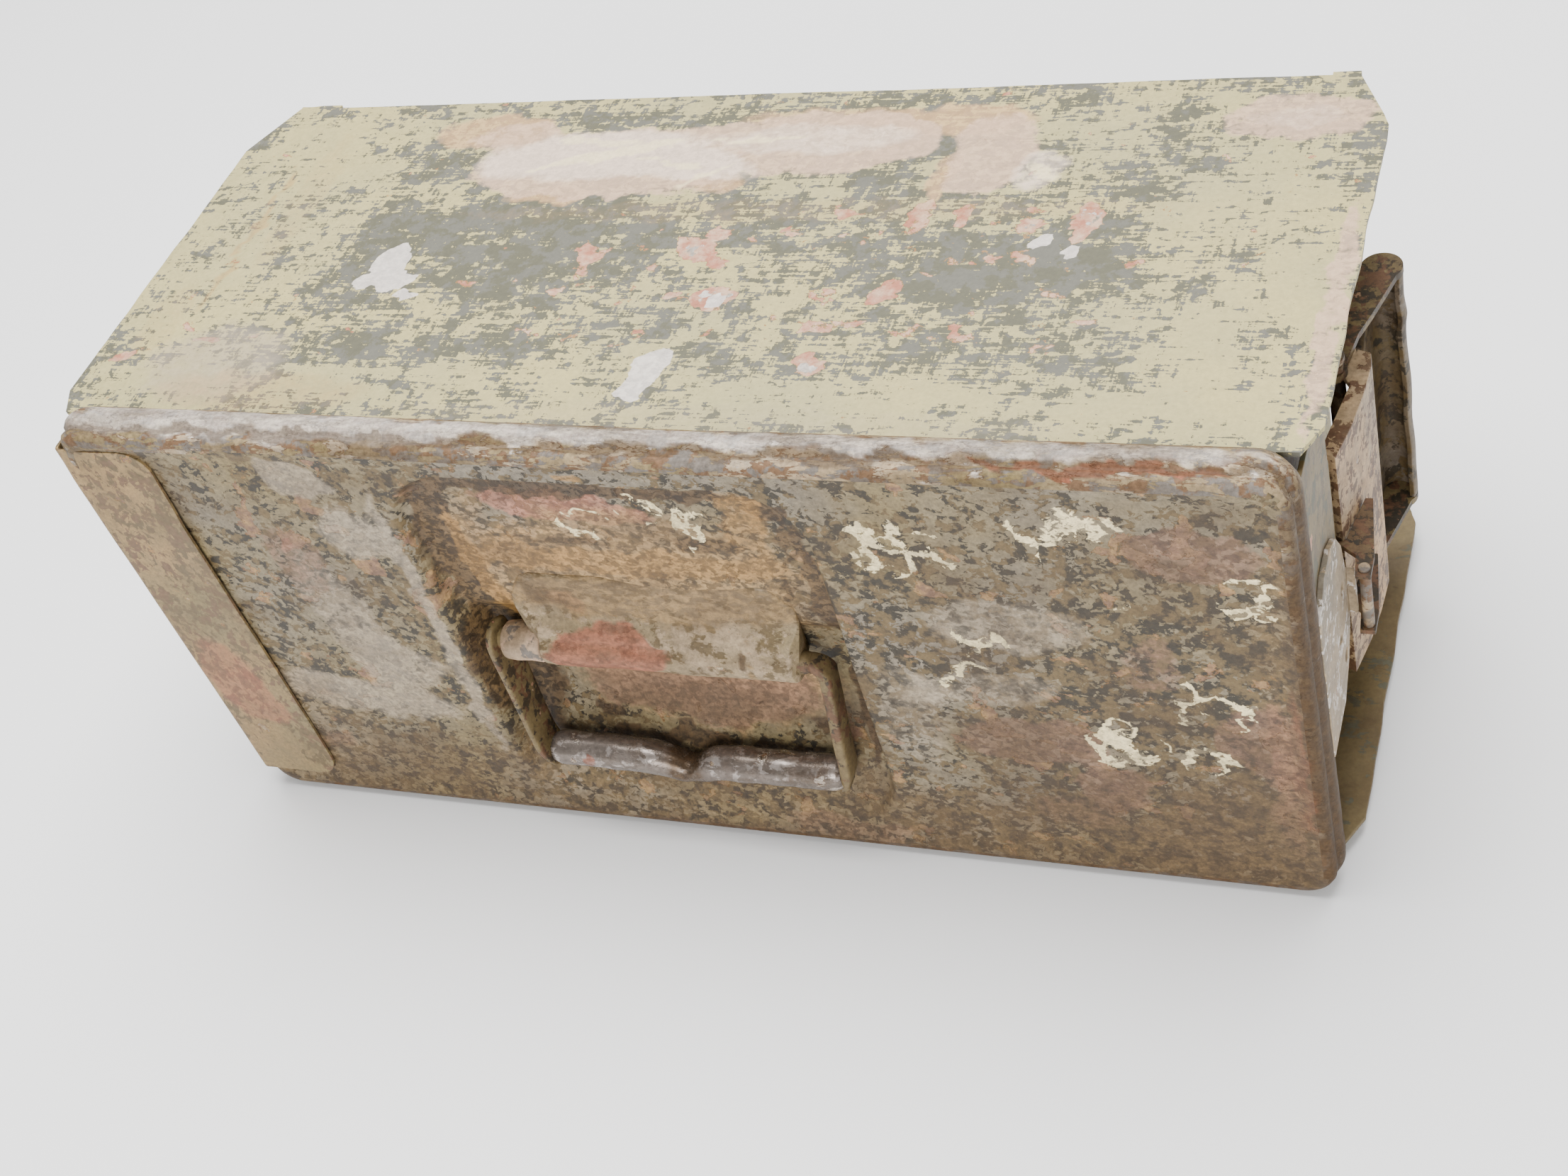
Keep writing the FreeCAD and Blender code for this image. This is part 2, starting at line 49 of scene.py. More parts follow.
# Shapes and paint marks are given in millimetres from the lid's lower left front
# corner: x along the lid, y from its face into the box, z up.
MM = 0.001
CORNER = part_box("lid_shell")[0]

# Without a seed, noise_vector takes its offsets from the clock and no two runs match.
noise.seed_set(19)


def span(node, axis):
    """Where a CAD node starts and ends along an axis, in millimetres from the corner."""
    low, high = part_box(node)
    return (low[axis] - CORNER[axis]) / MM, (high[axis] - CORNER[axis]) / MM


LID_LONG = span("lid_shell", 0)[1]
LID_WIDE = span("lid_shell", 2)[1]
SKIRT_END = 16.0
FIELD = 1.5


# ---- materials ----

class Shade:
    """A short way of writing one material's nodes."""

    def __init__(self, name):
        self.material = bpy.data.materials.new(name)
        self.material.use_nodes = True
        self.tree = self.material.node_tree
        self.shader = self.tree.nodes["Principled BSDF"]
        place = self.add("TexCoord").outputs["Object"]
        from_corner = self.vector("SUBTRACT", place, CORNER)
        self.spot = self.vector("SCALE", from_corner, scale=1 / MM)

    def add(self, kind, **settings):
        node = self.tree.nodes.new("ShaderNode" + kind)
        for key, value in settings.items():
            setattr(node, key, value)
        return node

    def feed(self, socket, value):
        if isinstance(value, bpy.types.NodeSocket):
            self.tree.links.new(value, socket)
        else:
            socket.default_value = value

    def sum(self, operation, *values):
        node = self.add("Math", operation=operation)
        for socket, value in zip(node.inputs, values):
            self.feed(socket, value)
        return node.outputs[0]

    def vector(self, operation, *values, scale=None):
        node = self.add("VectorMath", operation=operation)
        for socket, value in zip(node.inputs, values):
            self.feed(socket, value)
        if scale is not None:
            node.inputs["Scale"].default_value = scale
        return node.outputs["Vector"]

    def grain(self, size, detail=6, rough=0.6, stretch=(1, 1, 1), shift=0, warp=0.0):
        """Fractal noise whose blotches are about size millimetres."""
        scaled = self.vector("MULTIPLY", self.spot, [part / size for part in stretch])
        moved = self.vector("ADD", scaled, (shift, shift * 0.7, shift * 1.3))
        node = self.add("TexNoise")
        self.feed(node.inputs["Vector"], moved)
        looks = {"Scale": 1, "Detail": detail, "Roughness": rough, "Distortion": warp}
        for key, value in looks.items():
            node.inputs[key].default_value = value
        return node.outputs["Fac"]

    def step(self, value, at, soft=0.006, low=0.0, high=1.0):
        """Low below the threshold and high above it, with a narrow edge."""
        node = self.add("MapRange")
        self.feed(node.inputs["Value"], value)
        self.feed(node.inputs["From Min"], at - soft)
        self.feed(node.inputs["From Max"], at + soft)
        node.inputs["To Min"].default_value = low
        node.inputs["To Max"].default_value = high
        return node.outputs["Result"]

    def mix(self, factor, under, over, blend="MIX"):
        node = self.add("Mix", data_type="RGBA", blend_type=blend)
        self.feed(node.inputs["Factor"], factor)
        for socket, value in zip([s for s in node.inputs if s.type == "RGBA"], (under, over)):
            self.feed(socket, value if isinstance(value, bpy.types.NodeSocket) else (*value, 1))
        return [s for s in node.outputs if s.type == "RGBA"][0]

    def painted(self, layer):
        """What spread_marks left on the mesh for one layer."""
        return self.add("Attribute", attribute_name=layer).outputs["Fac"]


def rich(*colour):
    """A linear colour with its saturation raised, because the picture's tone curve lowers it."""
    mean = sum(colour) / 3
    return tuple(mean * (part / mean) ** 1.5 for part in colour)


# Linear colours of the paint layers, from the newest coat down to the steel.
SAGE = rich(0.415, 0.372, 0.212)
SAGE_PALE = rich(0.365, 0.335, 0.205)
KHAKI = rich(0.184, 0.153, 0.089)
OLIVE = rich(0.115, 0.090, 0.052)
DARK = rich(0.098, 0.095, 0.070)
DARK_COLD = rich(0.122, 0.119, 0.102)
SHADOWED = rich(0.031, 0.027, 0.020)
BLUE_GREY = rich(0.190, 0.170, 0.138)
MIST = rich(0.345, 0.300, 0.240)
STONE = rich(0.31, 0.255, 0.185)
MAUVE = rich(0.172, 0.115, 0.083)
PRIMER = rich(0.34, 0.18, 0.128)
PRIMER_RED = rich(0.235, 0.112, 0.074)
PINK = rich(0.50, 0.385, 0.295)
BLUSH_AND_SHEEN = rich(0.65, 0.555, 0.475)
TAN = rich(0.47, 0.335, 0.20)
OCHRE = rich(0.31, 0.205, 0.090)
SAND = rich(0.30, 0.215, 0.120)
EARTH = rich(0.200, 0.145, 0.078)
BROWN = rich(0.130, 0.090, 0.060)
RUST = rich(0.105, 0.066, 0.043)
# Dirt; also painted shade in the lid's pan, above the grip and down the rim's right end.
GRIME_AND_SHADE = rich(0.058, 0.040, 0.023)
IRON = (0.36, 0.315, 0.285)
IRON_DARK = (0.17, 0.140, 0.120)
STEEL = rich(0.62, 0.58, 0.54)
STEEL_DARK = rich(0.16, 0.145, 0.13)
CREAM = rich(0.82, 0.73, 0.50)
BLACK = (0.022, 0.018, 0.014)


def worn_paint(name, coat, base, chip=(PRIMER, PINK), metal=(STEEL, BLUE_GREY), rim=OCHRE,
               coat_at=0.5, coat_size=16, flake=0.8, flake_size=4.5,
               chip_at=0.66, chip_size=22, bare_at=0.8, rim_wide=0.012,
               stretch=(0.55, 1, 1), streak=0.0, streak_stretch=(1, 1, 1), speckle=0.5,
               grime_and_shade=GRIME_AND_SHADE, grime_at=0.62, grime_size=38, grime_most=0.5, tints=(), marked=False,
               strokes=None, seed=0, gloss=0.0, shine=0.35, iron=0.0, specular=0.35, bump=0.16):
    """Paint worn through in layers: coat over base over primer over steel, then dirt and painted
    shade.

    Each layer ends where a fractal field passes a threshold, so the deeper ones show
    inside the others with thin rims. A marked piece also carries its own marks of wear,
    dirt and painted shade, which shift the fields and bring in the tints. Strokes are the
    last crumbs of thin brushed lines: a colour that shows along a few level lines of a broad field.
    """
    s = Shade(name)

    def field(layer, size, detail, rough, shift):
        value = s.grain(size, detail, rough, stretch, seed + shift, 0.25)
        return s.sum("ADD", value, s.painted(layer)) if marked else value

    coat_field = field("coat", coat_size, 10, 0.66, 11)
    flakes = s.grain(flake_size, detail=7, stretch=stretch, shift=seed + 3, warp=0.6)
    coat_field = s.sum("MULTIPLY_ADD", s.sum("SUBTRACT", flakes, 0.5), flake, coat_field)
    if streak:
        lines = s.grain(1.3, detail=3, stretch=streak_stretch, shift=seed + 5)
        coat_field = s.sum("MULTIPLY_ADD", s.sum("SUBTRACT", lines, 0.5), streak, coat_field)
        along, across, up = streak_stretch
        cross = s.grain(1.3, detail=3, stretch=(across, along, up), shift=seed + 7)
        coat_field = s.sum("MULTIPLY_ADD", s.sum("SUBTRACT", cross, 0.5), streak * 0.6, coat_field)
    chip_field = field("chip", chip_size, 9, 0.58, 23)
    bare_field = s.sum("ADD", chip_field, s.grain(9, shift=seed + 31))
    if marked:
        bare_field = s.sum("ADD", bare_field, s.painted("bare"))

    has_coat = s.step(coat_field, coat_at, 0.007)
    in_rim = s.step(chip_field, chip_at - rim_wide, 0.003)
    in_chip = s.step(chip_field, chip_at, 0.004)
    in_bare = s.step(bare_field, bare_at + 0.5, 0.02)

    tone = s.grain(55, detail=4, rough=0.55, shift=seed + 41)
    mottle = s.step(tone, 0.5, 0.14)
    fine = s.grain(1.5, detail=4, rough=0.7, shift=seed + 43)
    mid = s.grain(6, detail=5, rough=0.62, shift=seed + 47)
    patches = s.step(mid, 0.5, 0.03)
    colour = s.mix(patches, *base)
    colour = s.mix(has_coat, colour, s.mix(mottle, *coat))
    colour = s.mix(s.sum("MULTIPLY", in_rim, 0.85), colour, rim)
    colour = s.mix(in_chip, colour, s.mix(s.step(mid, 0.5, 0.1), *chip))
    colour = s.mix(in_bare, colour, s.mix(s.step(mid, 0.52, 0.12), *metal))
    patchy = s.sum("ADD", mid, flakes) if tints else None
    for number, (tint, most, soft, broken) in enumerate(tints):
        washed = s.sum("MULTIPLY", s.painted("tint%d" % number), patchy)
        tone = s.step(flakes, 0.5, 0.05, 1 - broken, 1 + 0.4 * broken)
        toned = s.vector("MULTIPLY", tint, tone)
        colour = s.mix(s.step(washed, 0.5, soft, 0.0, most), colour, toned)
    if strokes:
        curl = s.grain(15, detail=1.5, rough=0.5, shift=seed + 61, warp=0.4)
        off_line = s.sum("ABSOLUTE", s.sum("SUBTRACT", curl, 0.5))
        on_line = s.step(s.sum("MULTIPLY_ADD", flakes, 0.34, off_line), 0.205, 0.008, 1.0, 0.0)
        left = s.step(s.sum("MULTIPLY", s.painted("strokes"), patchy), 0.5, 0.03)
        colour = s.mix(s.sum("MULTIPLY", on_line, left), colour, strokes)
    # The last layer is dirt, and on the lid also painted shade from its marks.
    dirt = field("dirt", grime_size, 8, 0.68, 53)
    colour = s.mix(s.step(dirt, grime_at, 0.12, 0.0, grime_most), colour, grime_and_shade)
    specks = s.step(fine, 0.5, 0.2, 1 - 0.34 * speckle, 1 + 0.26 * speckle)
    blots = s.step(mid, 0.5, 0.25, 1 - 0.14 * speckle, 1 + 0.14 * speckle)
    shade = s.sum("MULTIPLY", specks, blots)
    colour = s.mix(1.0, colour, s.vector("MULTIPLY", (1, 1, 1), shade), blend="MULTIPLY")
    s.feed(s.shader.inputs["Base Color"], colour)

    s.feed(s.shader.inputs["Metallic"], s.sum("MULTIPLY_ADD", in_bare, shine, iron))
    rough = s.sum("MULTIPLY_ADD", mid, 0.3, 0.42 - gloss)
    rough = s.sum("SUBTRACT", rough, s.sum("MULTIPLY", in_bare, 0.12))
    s.feed(s.shader.inputs["Roughness"], rough)
    s.shader.inputs["Specular IOR Level"].default_value = specular

    paint_left = s.sum("SUBTRACT", 1.0, in_chip)
    height = s.sum("MULTIPLY_ADD", has_coat, 0.35, paint_left)
    height = s.sum("MULTIPLY_ADD", s.sum("SUBTRACT", 1.0, in_bare), 0.4, height)
    height = s.sum("MULTIPLY_ADD", fine, 0.5, height)
    height = s.sum("MULTIPLY_ADD", mid, 0.9, height)
    relief = s.add("Bump")
    relief.inputs["Strength"].default_value = 0.8
    relief.inputs["Distance"].default_value = bump * MM
    s.feed(relief.inputs["Height"], height)
    s.feed(s.shader.inputs["Normal"], relief.outputs["Normal"])
    return s.material


# ---- wear, dirt and painted shade marks ----

# A mark is a soft-edged ellipsoid that shifts one layer: its centre and radii in
# millimetres, its strength and its turn in degrees.

def on_top(x, y, wide, deep, strength, turn=0):
    """A mark on the upper side plate."""
    return (x, y, 167), (wide, deep, 12), strength, (0, 0, turn)


def on_face(x, z, wide, high, strength, turn=0, y=4, deep=40):
    """A mark on the lid or handle as seen from the front, at any depth unless one is given."""
    return (x, y, z), (wide, deep, high), strength, (0, turn, 0)


def placed(place, **layers):
    """A piece's marks: for each layer, or tint by its number in the paint, what place takes."""
    return {layer: [place(*spot) for spot in group] for layer, group in layers.items()}


def spread_marks(item, marks):
    """Adds up a piece's marks at each vertex, one mesh attribute for each layer or tint."""
    fray = 3.5
    places = [(vertex.co - CORNER) / MM for vertex in item.data.vertices]
    pushes = [noise.noise_vector(spot / 9) + noise.noise_vector(spot / 3) * 0.4 for spot in places]
    frayed = np.array([spot + push * fray for spot, push in zip(places, pushes)])
    for layer, group in marks.items():
        total = np.zeros(len(places))
        for centre, radii, strength, turn in group:
            turned = np.array(Euler([math.radians(angle) for angle in turn]).to_matrix())
            away = np.linalg.norm(((frayed - centre) @ turned) / radii, axis=1)
            near = np.clip((1.3 - away) / 0.6, 0, 1)
            total += strength * near * near * (3 - 2 * near)
        layer_data = item.data.attributes.new(layer, "FLOAT", "POINT")
        layer_data.data.foreach_set("value", total.astype(np.float32))


# ---- the paints ----

def top_paint():
    """The upper plate: sage paint, worn in fine streaks to a dark grey."""
    return worn_paint(
        "paint_top_plate", coat=(SAGE, SAGE_PALE), base=(DARK, DARK_COLD),
        coat_size=13, flake=1.0, flake_size=3.0, chip_at=0.70, chip_size=8, bare_at=0.9,
        stretch=(0.8, 1, 1), streak=0.6, streak_stretch=(0.07, 1.4, 1), speckle=0.35, grime_at=0.74,
        grime_most=0.3, seed=2, marked=True,
        # Tint 3's pale blush is worn paint, made paler along the far edge as painted sheen.
        tints=((TAN, 0.7, 0.2, 0.1), (MIST, 0.6, 0.35, 0.1), (PINK, 0.85, 0.1, 0.1),
               (BLUSH_AND_SHEEN, 0.85, 0.25, 0.06), (STEEL, 0.95, 0.05, 0.12), (CREAM, 0.6, 0.25, 0),
               (OCHRE, 0.45, 0.3, 0.2)))


TOP_MARKS = placed(
    on_top,
    coat=[
        (20, 95, 34, 80, 0.09), (40, 150, 40, 20, 0.06), (350, 80, 30, 56, 0.12),
        (120, 30, 160, 12, 0.07), (300, 28, 90, 12, 0.1), (110, 96, 56, 24, -0.14),
        (275, 82, 34, 16, -0.15), (205, 106, 56, 12, -0.08), (105, 50, 46, 9, -0.06),
        (300, 52, 45, 9, -0.05), (75, 135, 14, 8, -0.12), (240, 143, 12, 8, -0.16),
        (225, 157, 14, 4, -0.14), (330, 85, 24, 8, -0.09),
    ],
    chip=[
        (230, 82, 100, 34, 0.07), (184, 93, 13, 4.5, 0.26, -38), (188, 103, 5, 3.4, 0.22),
        (212, 101, 3, 3, 0.22), (196, 72, 7, 5, 0.24), (183, 73, 4, 3, 0.2), (236, 44, 6, 5, 0.26),
        (232, 60, 6, 4, 0.2), (248, 74, 6, 4, 0.22, 30), (284, 108, 4.5, 7, 0.24),
        (300, 105, 4.5, 10, 0.26), (250, 110, 4.5, 6, 0.2), (263, 110, 3, 6, 0.22),
        (298, 54, 5, 4, 0.2), (225, 111, 5, 3, 0.2), (148, 88, 4, 8, 0.24, 12),
        (318, 23, 6, 4, 0.16), (25, 49, 7, 1.6, 0.24, 12), (45, 52, 3, 1.8, 0.2),
        (6, 44, 8, 2, 0.18, 10),
    ],
    bare=[(148, 88, 6, 10, -0.3), (230, 82, 100, 30, -0.06)],
    tint0=[
        (88, 155, 22, 9, 0.9), (122, 121, 16, 4, 0.8), (176, 127, 12, 5, 0.8),
        (250, 155, 24, 8, 0.9), (252, 128, 4, 14, 0.7), (205, 158, 30, 6, 0.6),
    ],
    tint1=[(38, 40, 26, 18, 0.8), (205, 20, 120, 8, 0.3)],
    # Tints 2 and 3 are worn pink paint; along the far edge they are also painted sheen.
    tint2=[
        (138, 138, 54, 17, 0.75, 5), (205, 145, 38, 17, 0.75), (97, 152, 18, 9, 0.6),
        (264, 138, 14, 21, 0.8), (352, 152, 24, 12, 0.7), (373, 68, 4, 50, 0.7),
        (230, 146, 16, 12, 0.6), (150, 124, 44, 6, 0.45),
    ],
    tint3=[
        (128, 141, 40, 12, 1.0, 4), (165, 135, 26, 7, 0.8, -8), (205, 147, 34, 8, 0.6),
        (280, 130, 8, 10, 0.6, -40), (352, 152, 16, 6, 0.4),
    ],
    tint6=[
        (60, 28, 40, 10, 0.5), (17.5, 102, 1.6, 40, 0.9), (30, 120, 8, 40, 0.35),
        (8, 60, 8, 20, 0.35), (210, 112, 130, 6, 0.35),
    ],
    tint5=[
        (140, 142, 22, 2.4, 0.9, 14), (118, 137, 12, 1.8, 0.9, 24), (160, 136, 14, 1.6, 0.9, -12),
        (186, 148, 16, 1.6, 0.8, 6), (130, 148, 18, 1.4, 0.8, -6), (172, 128, 12, 1.4, 0.8, 30),
        (282, 128, 7, 2, 0.9, -50),
    ],
    tint4=[
        (79, 87, 6, 9, 1.2), (84, 80, 6, 6, 1.0, 20), (73, 77, 4, 4, 0.9),
        (92, 72, 4.5, 2.2, 1.3, -15), (186, 41, 6, 10, 1.3, -12), (184, 33, 4, 5, 0.9),
        (197, 72, 3, 2, 1.1), (299, 93, 2.5, 5, 1.1), (288, 98, 2, 3, 1.1),
    ],
)


def face_paint():
    """The lid's face: khaki and blue-grey coats, flaked to dark, with primer showing."""
    return worn_paint(
        "paint_lid_face", coat=(KHAKI, BLUE_GREY), base=(SHADOWED, OLIVE), chip=(MAUVE, SAND),
        metal=(STONE, BLUE_GREY), coat_at=0.495, coat_size=8, flake=1.15, flake_size=2.3,
        chip_at=0.62, chip_size=10, bare_at=0.9, rim_wide=0.006, stretch=(0.8, 1, 1), speckle=1.1,
        grime_at=0.6, grime_size=24, grime_most=0.6, seed=17, bump=0.32, marked=True, strokes=CREAM,
        # Tint 5 is dirt, and also painted shade along the pan's walls and top edge and above the
        # grip.
        tints=((PRIMER, 0.65, 0.12, 0.35), (SAND, 0.7, 0.2, 0.5), (MIST, 0.7, 0.16, 0.14),
               (PRIMER_RED, 0.95, 0.3, 0.3), (STEEL, 0.5, 0.3, 0.1), (GRIME_AND_SHADE, 0.9, 0.14, 0.55),
               (MAUVE, 0.7, 0.1, 0.35), (OCHRE, 0.65, 0.12, 0.4), (EARTH, 0.42, 0.4, 0.7)))


FACE_MARKS = placed(
    on_face,
    coat=[
        (50, 148, 30, 20, 0.04), (345, 20, 34, 18, -0.1), (358, 90, 16, 70, -0.05),
        (335, 60, 45, 62, -0.07), (187, 10, 190, 24, -0.035), (280, 22, 40, 18, -0.05),
        (290, 158, 60, 10, 0.04), (182, 62, 48, 19, 0.3), (260, 115, 26, 40, -0.06),
        (310, 90, 30, 26, -0.05), (92, 90, 20, 34, -0.06),
    ],
    chip=[
        (75, 125, 26, 24, 0.05), (345, 145, 22, 10, 0.08), (290, 60, 26, 14, 0.05),
        (360, 60, 9, 40, 0.05), (318, 40, 18, 10, 0.06), (60, 20, 46, 22, -0.06),
        (345, 18, 28, 16, -0.12),
    ],
    bare=[(104, 90, 8, 62, 0.15), (345, 145, 26, 14, -0.3), (360, 60, 12, 44, -0.3)],
    # Dirt, darker along the bottom and towards the lower right, with painted shade in the rim's
    # crease, down the pan's right wall, on the pan's floor under the barrel and down the right
    # edge.
    dirt=[
        (60, 18, 60, 24, 0.08), (187, 10, 230, 30, 0.08), (232, 60, 8, 60, 0.12),
        (372, 60, 6, 100, 0.3), (350, 6, 40, 6, 0.15), (170, 2, 200, 4, 0.2), (195, 52, 50, 6, 0.2),
        (15, 150, 24, 30, 0.1), (320, 30, 85, 42, 0.09), (310, 92, 72, 80, 0.05),
        (350, 14, 40, 26, 0.12), (187, 170, 400, 4, 0.4, 0, 5, 1.4), (187, 0, 400, 5, 0.3, 0, 1, 8),
    ],
    tint0=[
        (66, 127, 3, 4, 0.9), (166, 146, 28, 7, 1, 6), (361, 62, 4, 30, 0.6),
        (182, 63, 46, 15, 0.62), (190, 4, 60, 4, 0.4),
    ],
    tint1=[
        (176, 112, 62, 44, 0.7, 0, 12, 12), (182, 63, 50, 21, 0.8, 0, 13, 9),
        (128, 145, 10, 16, 0.4), (60, 140, 30, 20, 0.15),
    ],
    tint2=[
        (82, 157, 12, 8, 1.0, 20), (62, 55, 36, 10, 0.72, 6), (72, 95, 12, 34, 0.62, -8),
        (105, 92, 4, 66, 0.7), (92, 134, 12, 12, 0.66, 30), (185, 137, 12, 3, 0.4),
        (84, 72, 16, 12, 0.6), (292, 112, 26, 12, 0.55), (255, 70, 12, 26, 0.45),
        (282, 84, 24, 8, 0.5, -10),
    ],
    tint3=[(325, 170.6, 36, 3, 1, 0, 4.6, 1.9), (367, 60, 3.6, 34, 0.8, 0, 2, 6)],
    tint4=[(250, 172, 150, 3, 0.8, 0, 10, 4), (60, 172, 90, 5, 1, 0, 9, 6)],
    # Tint 5: painted shadow under the pan's top edge and above the grip, painted shade down the
    # pan's right wall and the rim's right end, dirt with painted shade on the pan's left wall, dirt
    # and cracks elsewhere.
    tint5=[
        (119, 70, 8.5, 38, 1.1), (119, 122, 8, 24, 1.0), (128, 60, 5, 26, 0.5),
        (172, 153.6, 56, 2.8, 1.0), (186, 96, 54, 3, 0.7), (236, 68, 3.2, 32, 0.9),
        (182, 38.5, 50, 2.0, 1.0), (146, 47, 6, 3.4, 0.9), (177, 42, 8, 2, 0.8),
        (218, 47, 4, 2.4, 0.8), (206, 133, 12, 4, 0.75), (160, 131, 20, 2.2, 0.6),
        (122, 148, 8, 8, 0.6), (235.5, 108, 3.2, 36, 1.0), (230, 149.5, 7, 4.5, 0.9),
        (228, 122, 1.4, 26, 0.8, 14), (216, 138, 1.2, 14, 0.8, -24), (126, 120, 4, 30, 0.6),
        (375, 70, 7, 96, 1.1, 0, 6, 16), (190, 1, 200, 4, 0.6),
    ],
    tint6=[
        (290, 62, 24, 11, 0.8), (312, 44, 12, 10, 0.7), (346, 144, 20, 9, 0.85),
        (362, 55, 7, 40, 0.6), (352, 70, 8, 16, 0.6), (40, 30, 10, 6, 0.6), (330, 100, 10, 14, 0.5),
        (66, 120, 12, 18, 0.55), (180, 58, 44, 14, 0.85), (300, 30, 16, 8, 0.5),
        (222, 10, 26, 7, 0.6),
    ],
    tint7=[
        (182, 122, 54, 7, 0.7), (126, 110, 5, 36, 0.75), (200, 72, 15, 7, 0.9),
        (152, 74, 8, 6, 0.7), (222, 142, 8, 16, 0.6), (175, 163, 5, 2, 0.9), (140, 125, 8, 14, 0.5),
    ],
    tint8=[
        (187, 14, 200, 22, 0.62), (347, 24, 28, 30, 0.6), (20, 40, 40, 30, 0.5),
        (205, 122, 40, 26, 0.55), (118, 84, 8, 60, 0.5), (366, 90, 8, 60, 0.6),
    ],
    strokes=[
        (170, 139, 9, 7, 1.1), (190, 147, 8, 6, 1.1), (204, 140, 5, 10, 1.1),
        (262, 140, 9, 12, 1.2), (276, 138, 7, 9, 1.2), (300, 143, 7, 10, 1.2),
        (316, 152, 14, 6, 1.2), (322, 124, 5, 3, 1.1), (358, 128, 8, 9, 1.2), (276, 92, 9, 12, 1.2),
        (284, 106, 7, 4, 1.1), (318, 64, 12, 10, 1.2), (345, 84, 12, 12, 1.2), (342, 60, 8, 6, 1.1),
    ],
)


def rim_paint():
    """The lid's rolled rim: paint rubbed off to grey steel, red primer left in its crease."""
    return worn_paint(
        "paint_lid_rim", coat=(STONE, KHAKI), base=(STEEL_DARK, BROWN), chip=(MIST, STONE),
        metal=(STEEL, MIST), rim=RUST, coat_at=0.52, coat_size=6, flake=0.9, flake_size=2.2,
        chip_at=0.57, chip_size=5, bare_at=0.72, stretch=(0.35, 1, 1), speckle=1.1, grime_at=0.56,
        grime_size=12, grime_most=0.7, seed=29, specular=0.15, bump=0.22, marked=True,
        # Tint 5 is dirt, and also painted shade down the rim's right end.
        tints=((PRIMER, 0.3, 0.3, 0.2), (OCHRE, 0.3, 0.3, 0.2), (MIST, 0.5, 0.3, 0.1),
               (PRIMER_RED, 0.95, 0.2, 0.3), (STEEL, 0.6, 0.3, 0.1), (GRIME_AND_SHADE, 0.85, 0.3, 0.4),
               (BROWN, 0.3, 0.3, 0.2)))


def strip_paint(name, seed, **more):
    """The hinge leaves: sand and khaki coats gone brown."""
    looks = dict(
        coat=(SAND, KHAKI), base=(OLIVE, BROWN), chip=(MAUVE, STONE), metal=(STONE, STEEL),
        coat_size=9, flake=1.1, flake_size=2.8, chip_size=9, bare_at=0.9, stretch=(1, 1, 0.7),
        speckle=0.9, grime_and_shade=OLIVE, grime_at=0.56, grime_size=26, grime_most=0.65, seed=seed)
    return worn_paint(name, **(looks | more))


STRIP_MARKS = placed(
    on_face,
    coat=[(12, 22, 14, 14, 0.12), (10, 95, 8, 30, 0.06)],
    tint0=[(12, 60, 10, 20, 1), (18, 45, 8, 8, 0.8)],
)


def side_paint(name, seed, **more):
    """The plain sides, ends and bottom: the same worn coats with no special marks."""
    looks = dict(
        coat=(SAGE_PALE, KHAKI), base=(OLIVE, DARK), coat_at=0.47, coat_size=14, chip_at=0.70,
        chip_size=11, bare_at=0.88, streak=0.2, streak_stretch=(0.05, 1, 1), speckle=0.45,
        grime_at=0.6, seed=seed)
    return worn_paint(name, **(looks | more))


def hardware_paint(name, seed, **more):
    """Handle and latch pieces: brown worn steel with paint left in patches."""
    looks = dict(
        coat=(OLIVE, BROWN), base=(SHADOWED, RUST), chip=(STONE, PRIMER), metal=(STEEL, STONE),
        rim=RUST, coat_at=0.52, coat_size=9, flake_size=3, chip_at=0.69, chip_size=6, bare_at=0.84,
        stretch=(1, 1, 1), speckle=0.9, grime_at=0.52, grime_size=14, grime_most=0.6, seed=seed,
        bump=0.15)
    return worn_paint(name, **(looks | more))


def barrel_paint():
    return worn_paint(
        "paint_barrel", coat=(STONE, KHAKI), base=(OLIVE, STONE), chip=(MAUVE, MIST),
        metal=(MIST, CREAM), rim=TAN, coat_size=6, flake_size=2.6, chip_size=5, bare_at=0.82,
        speckle=1.0, grime_at=0.56, grime_size=12, grime_most=0.6, seed=73, bump=0.2, marked=True,
        tints=((PRIMER_RED, 0.85, 0.12, 0.3), (EARTH, 0.8, 0.3, 0.4), (GRIME_AND_SHADE, 0.85, 0.2, 0.3)))


BARREL_MARKS = placed(
    on_face,
    tint0=[(162, 86, 21, 9, 1.1, 0, 3, 14), (150, 104, 8, 5, 0.6, 0, 7, 6)],
    tint1=[(180, 106, 60, 10, 1.0, 0, 8, 8), (209, 84, 0.9, 14, 1, 0, 1, 12)],
    tint2=[(207, 84, 0.9, 14, 0.9, 0, 1, 12), (142, 106, 5, 8, 0.6, 0, 7, 8)],
)


def grip_paint():
    return hardware_paint(
        "paint_grip", 61, coat=(IRON_DARK, STEEL_DARK), base=(IRON, IRON_DARK), chip=(STONE, STEEL),
        metal=(STEEL, MIST), coat_at=0.5, chip_at=0.62, bare_at=0.7, stretch=(0.5, 1, 1),
        gloss=0.3, shine=0.4, iron=0.55, grime_at=0.6, grime_most=0.8, marked=True,
        tints=((PRIMER_RED, 0.6, 0.1, 0.2), (GRIME_AND_SHADE, 0.85, 0.4, 0.2)))


GRIP_MARKS = placed(
    on_face,
    tint0=[(142, 38, 3, 3, 1, 0, -4, 6)],
    tint1=[(174, 37, 8, 9, 1, 0, 1, 9), (205, 33, 30, 4, 0.5, 0, -3, 6)],
)


def raw_steel(name, seed):
    return hardware_paint(name, seed, coat=(RUST, BROWN), base=(STEEL_DARK, STONE))


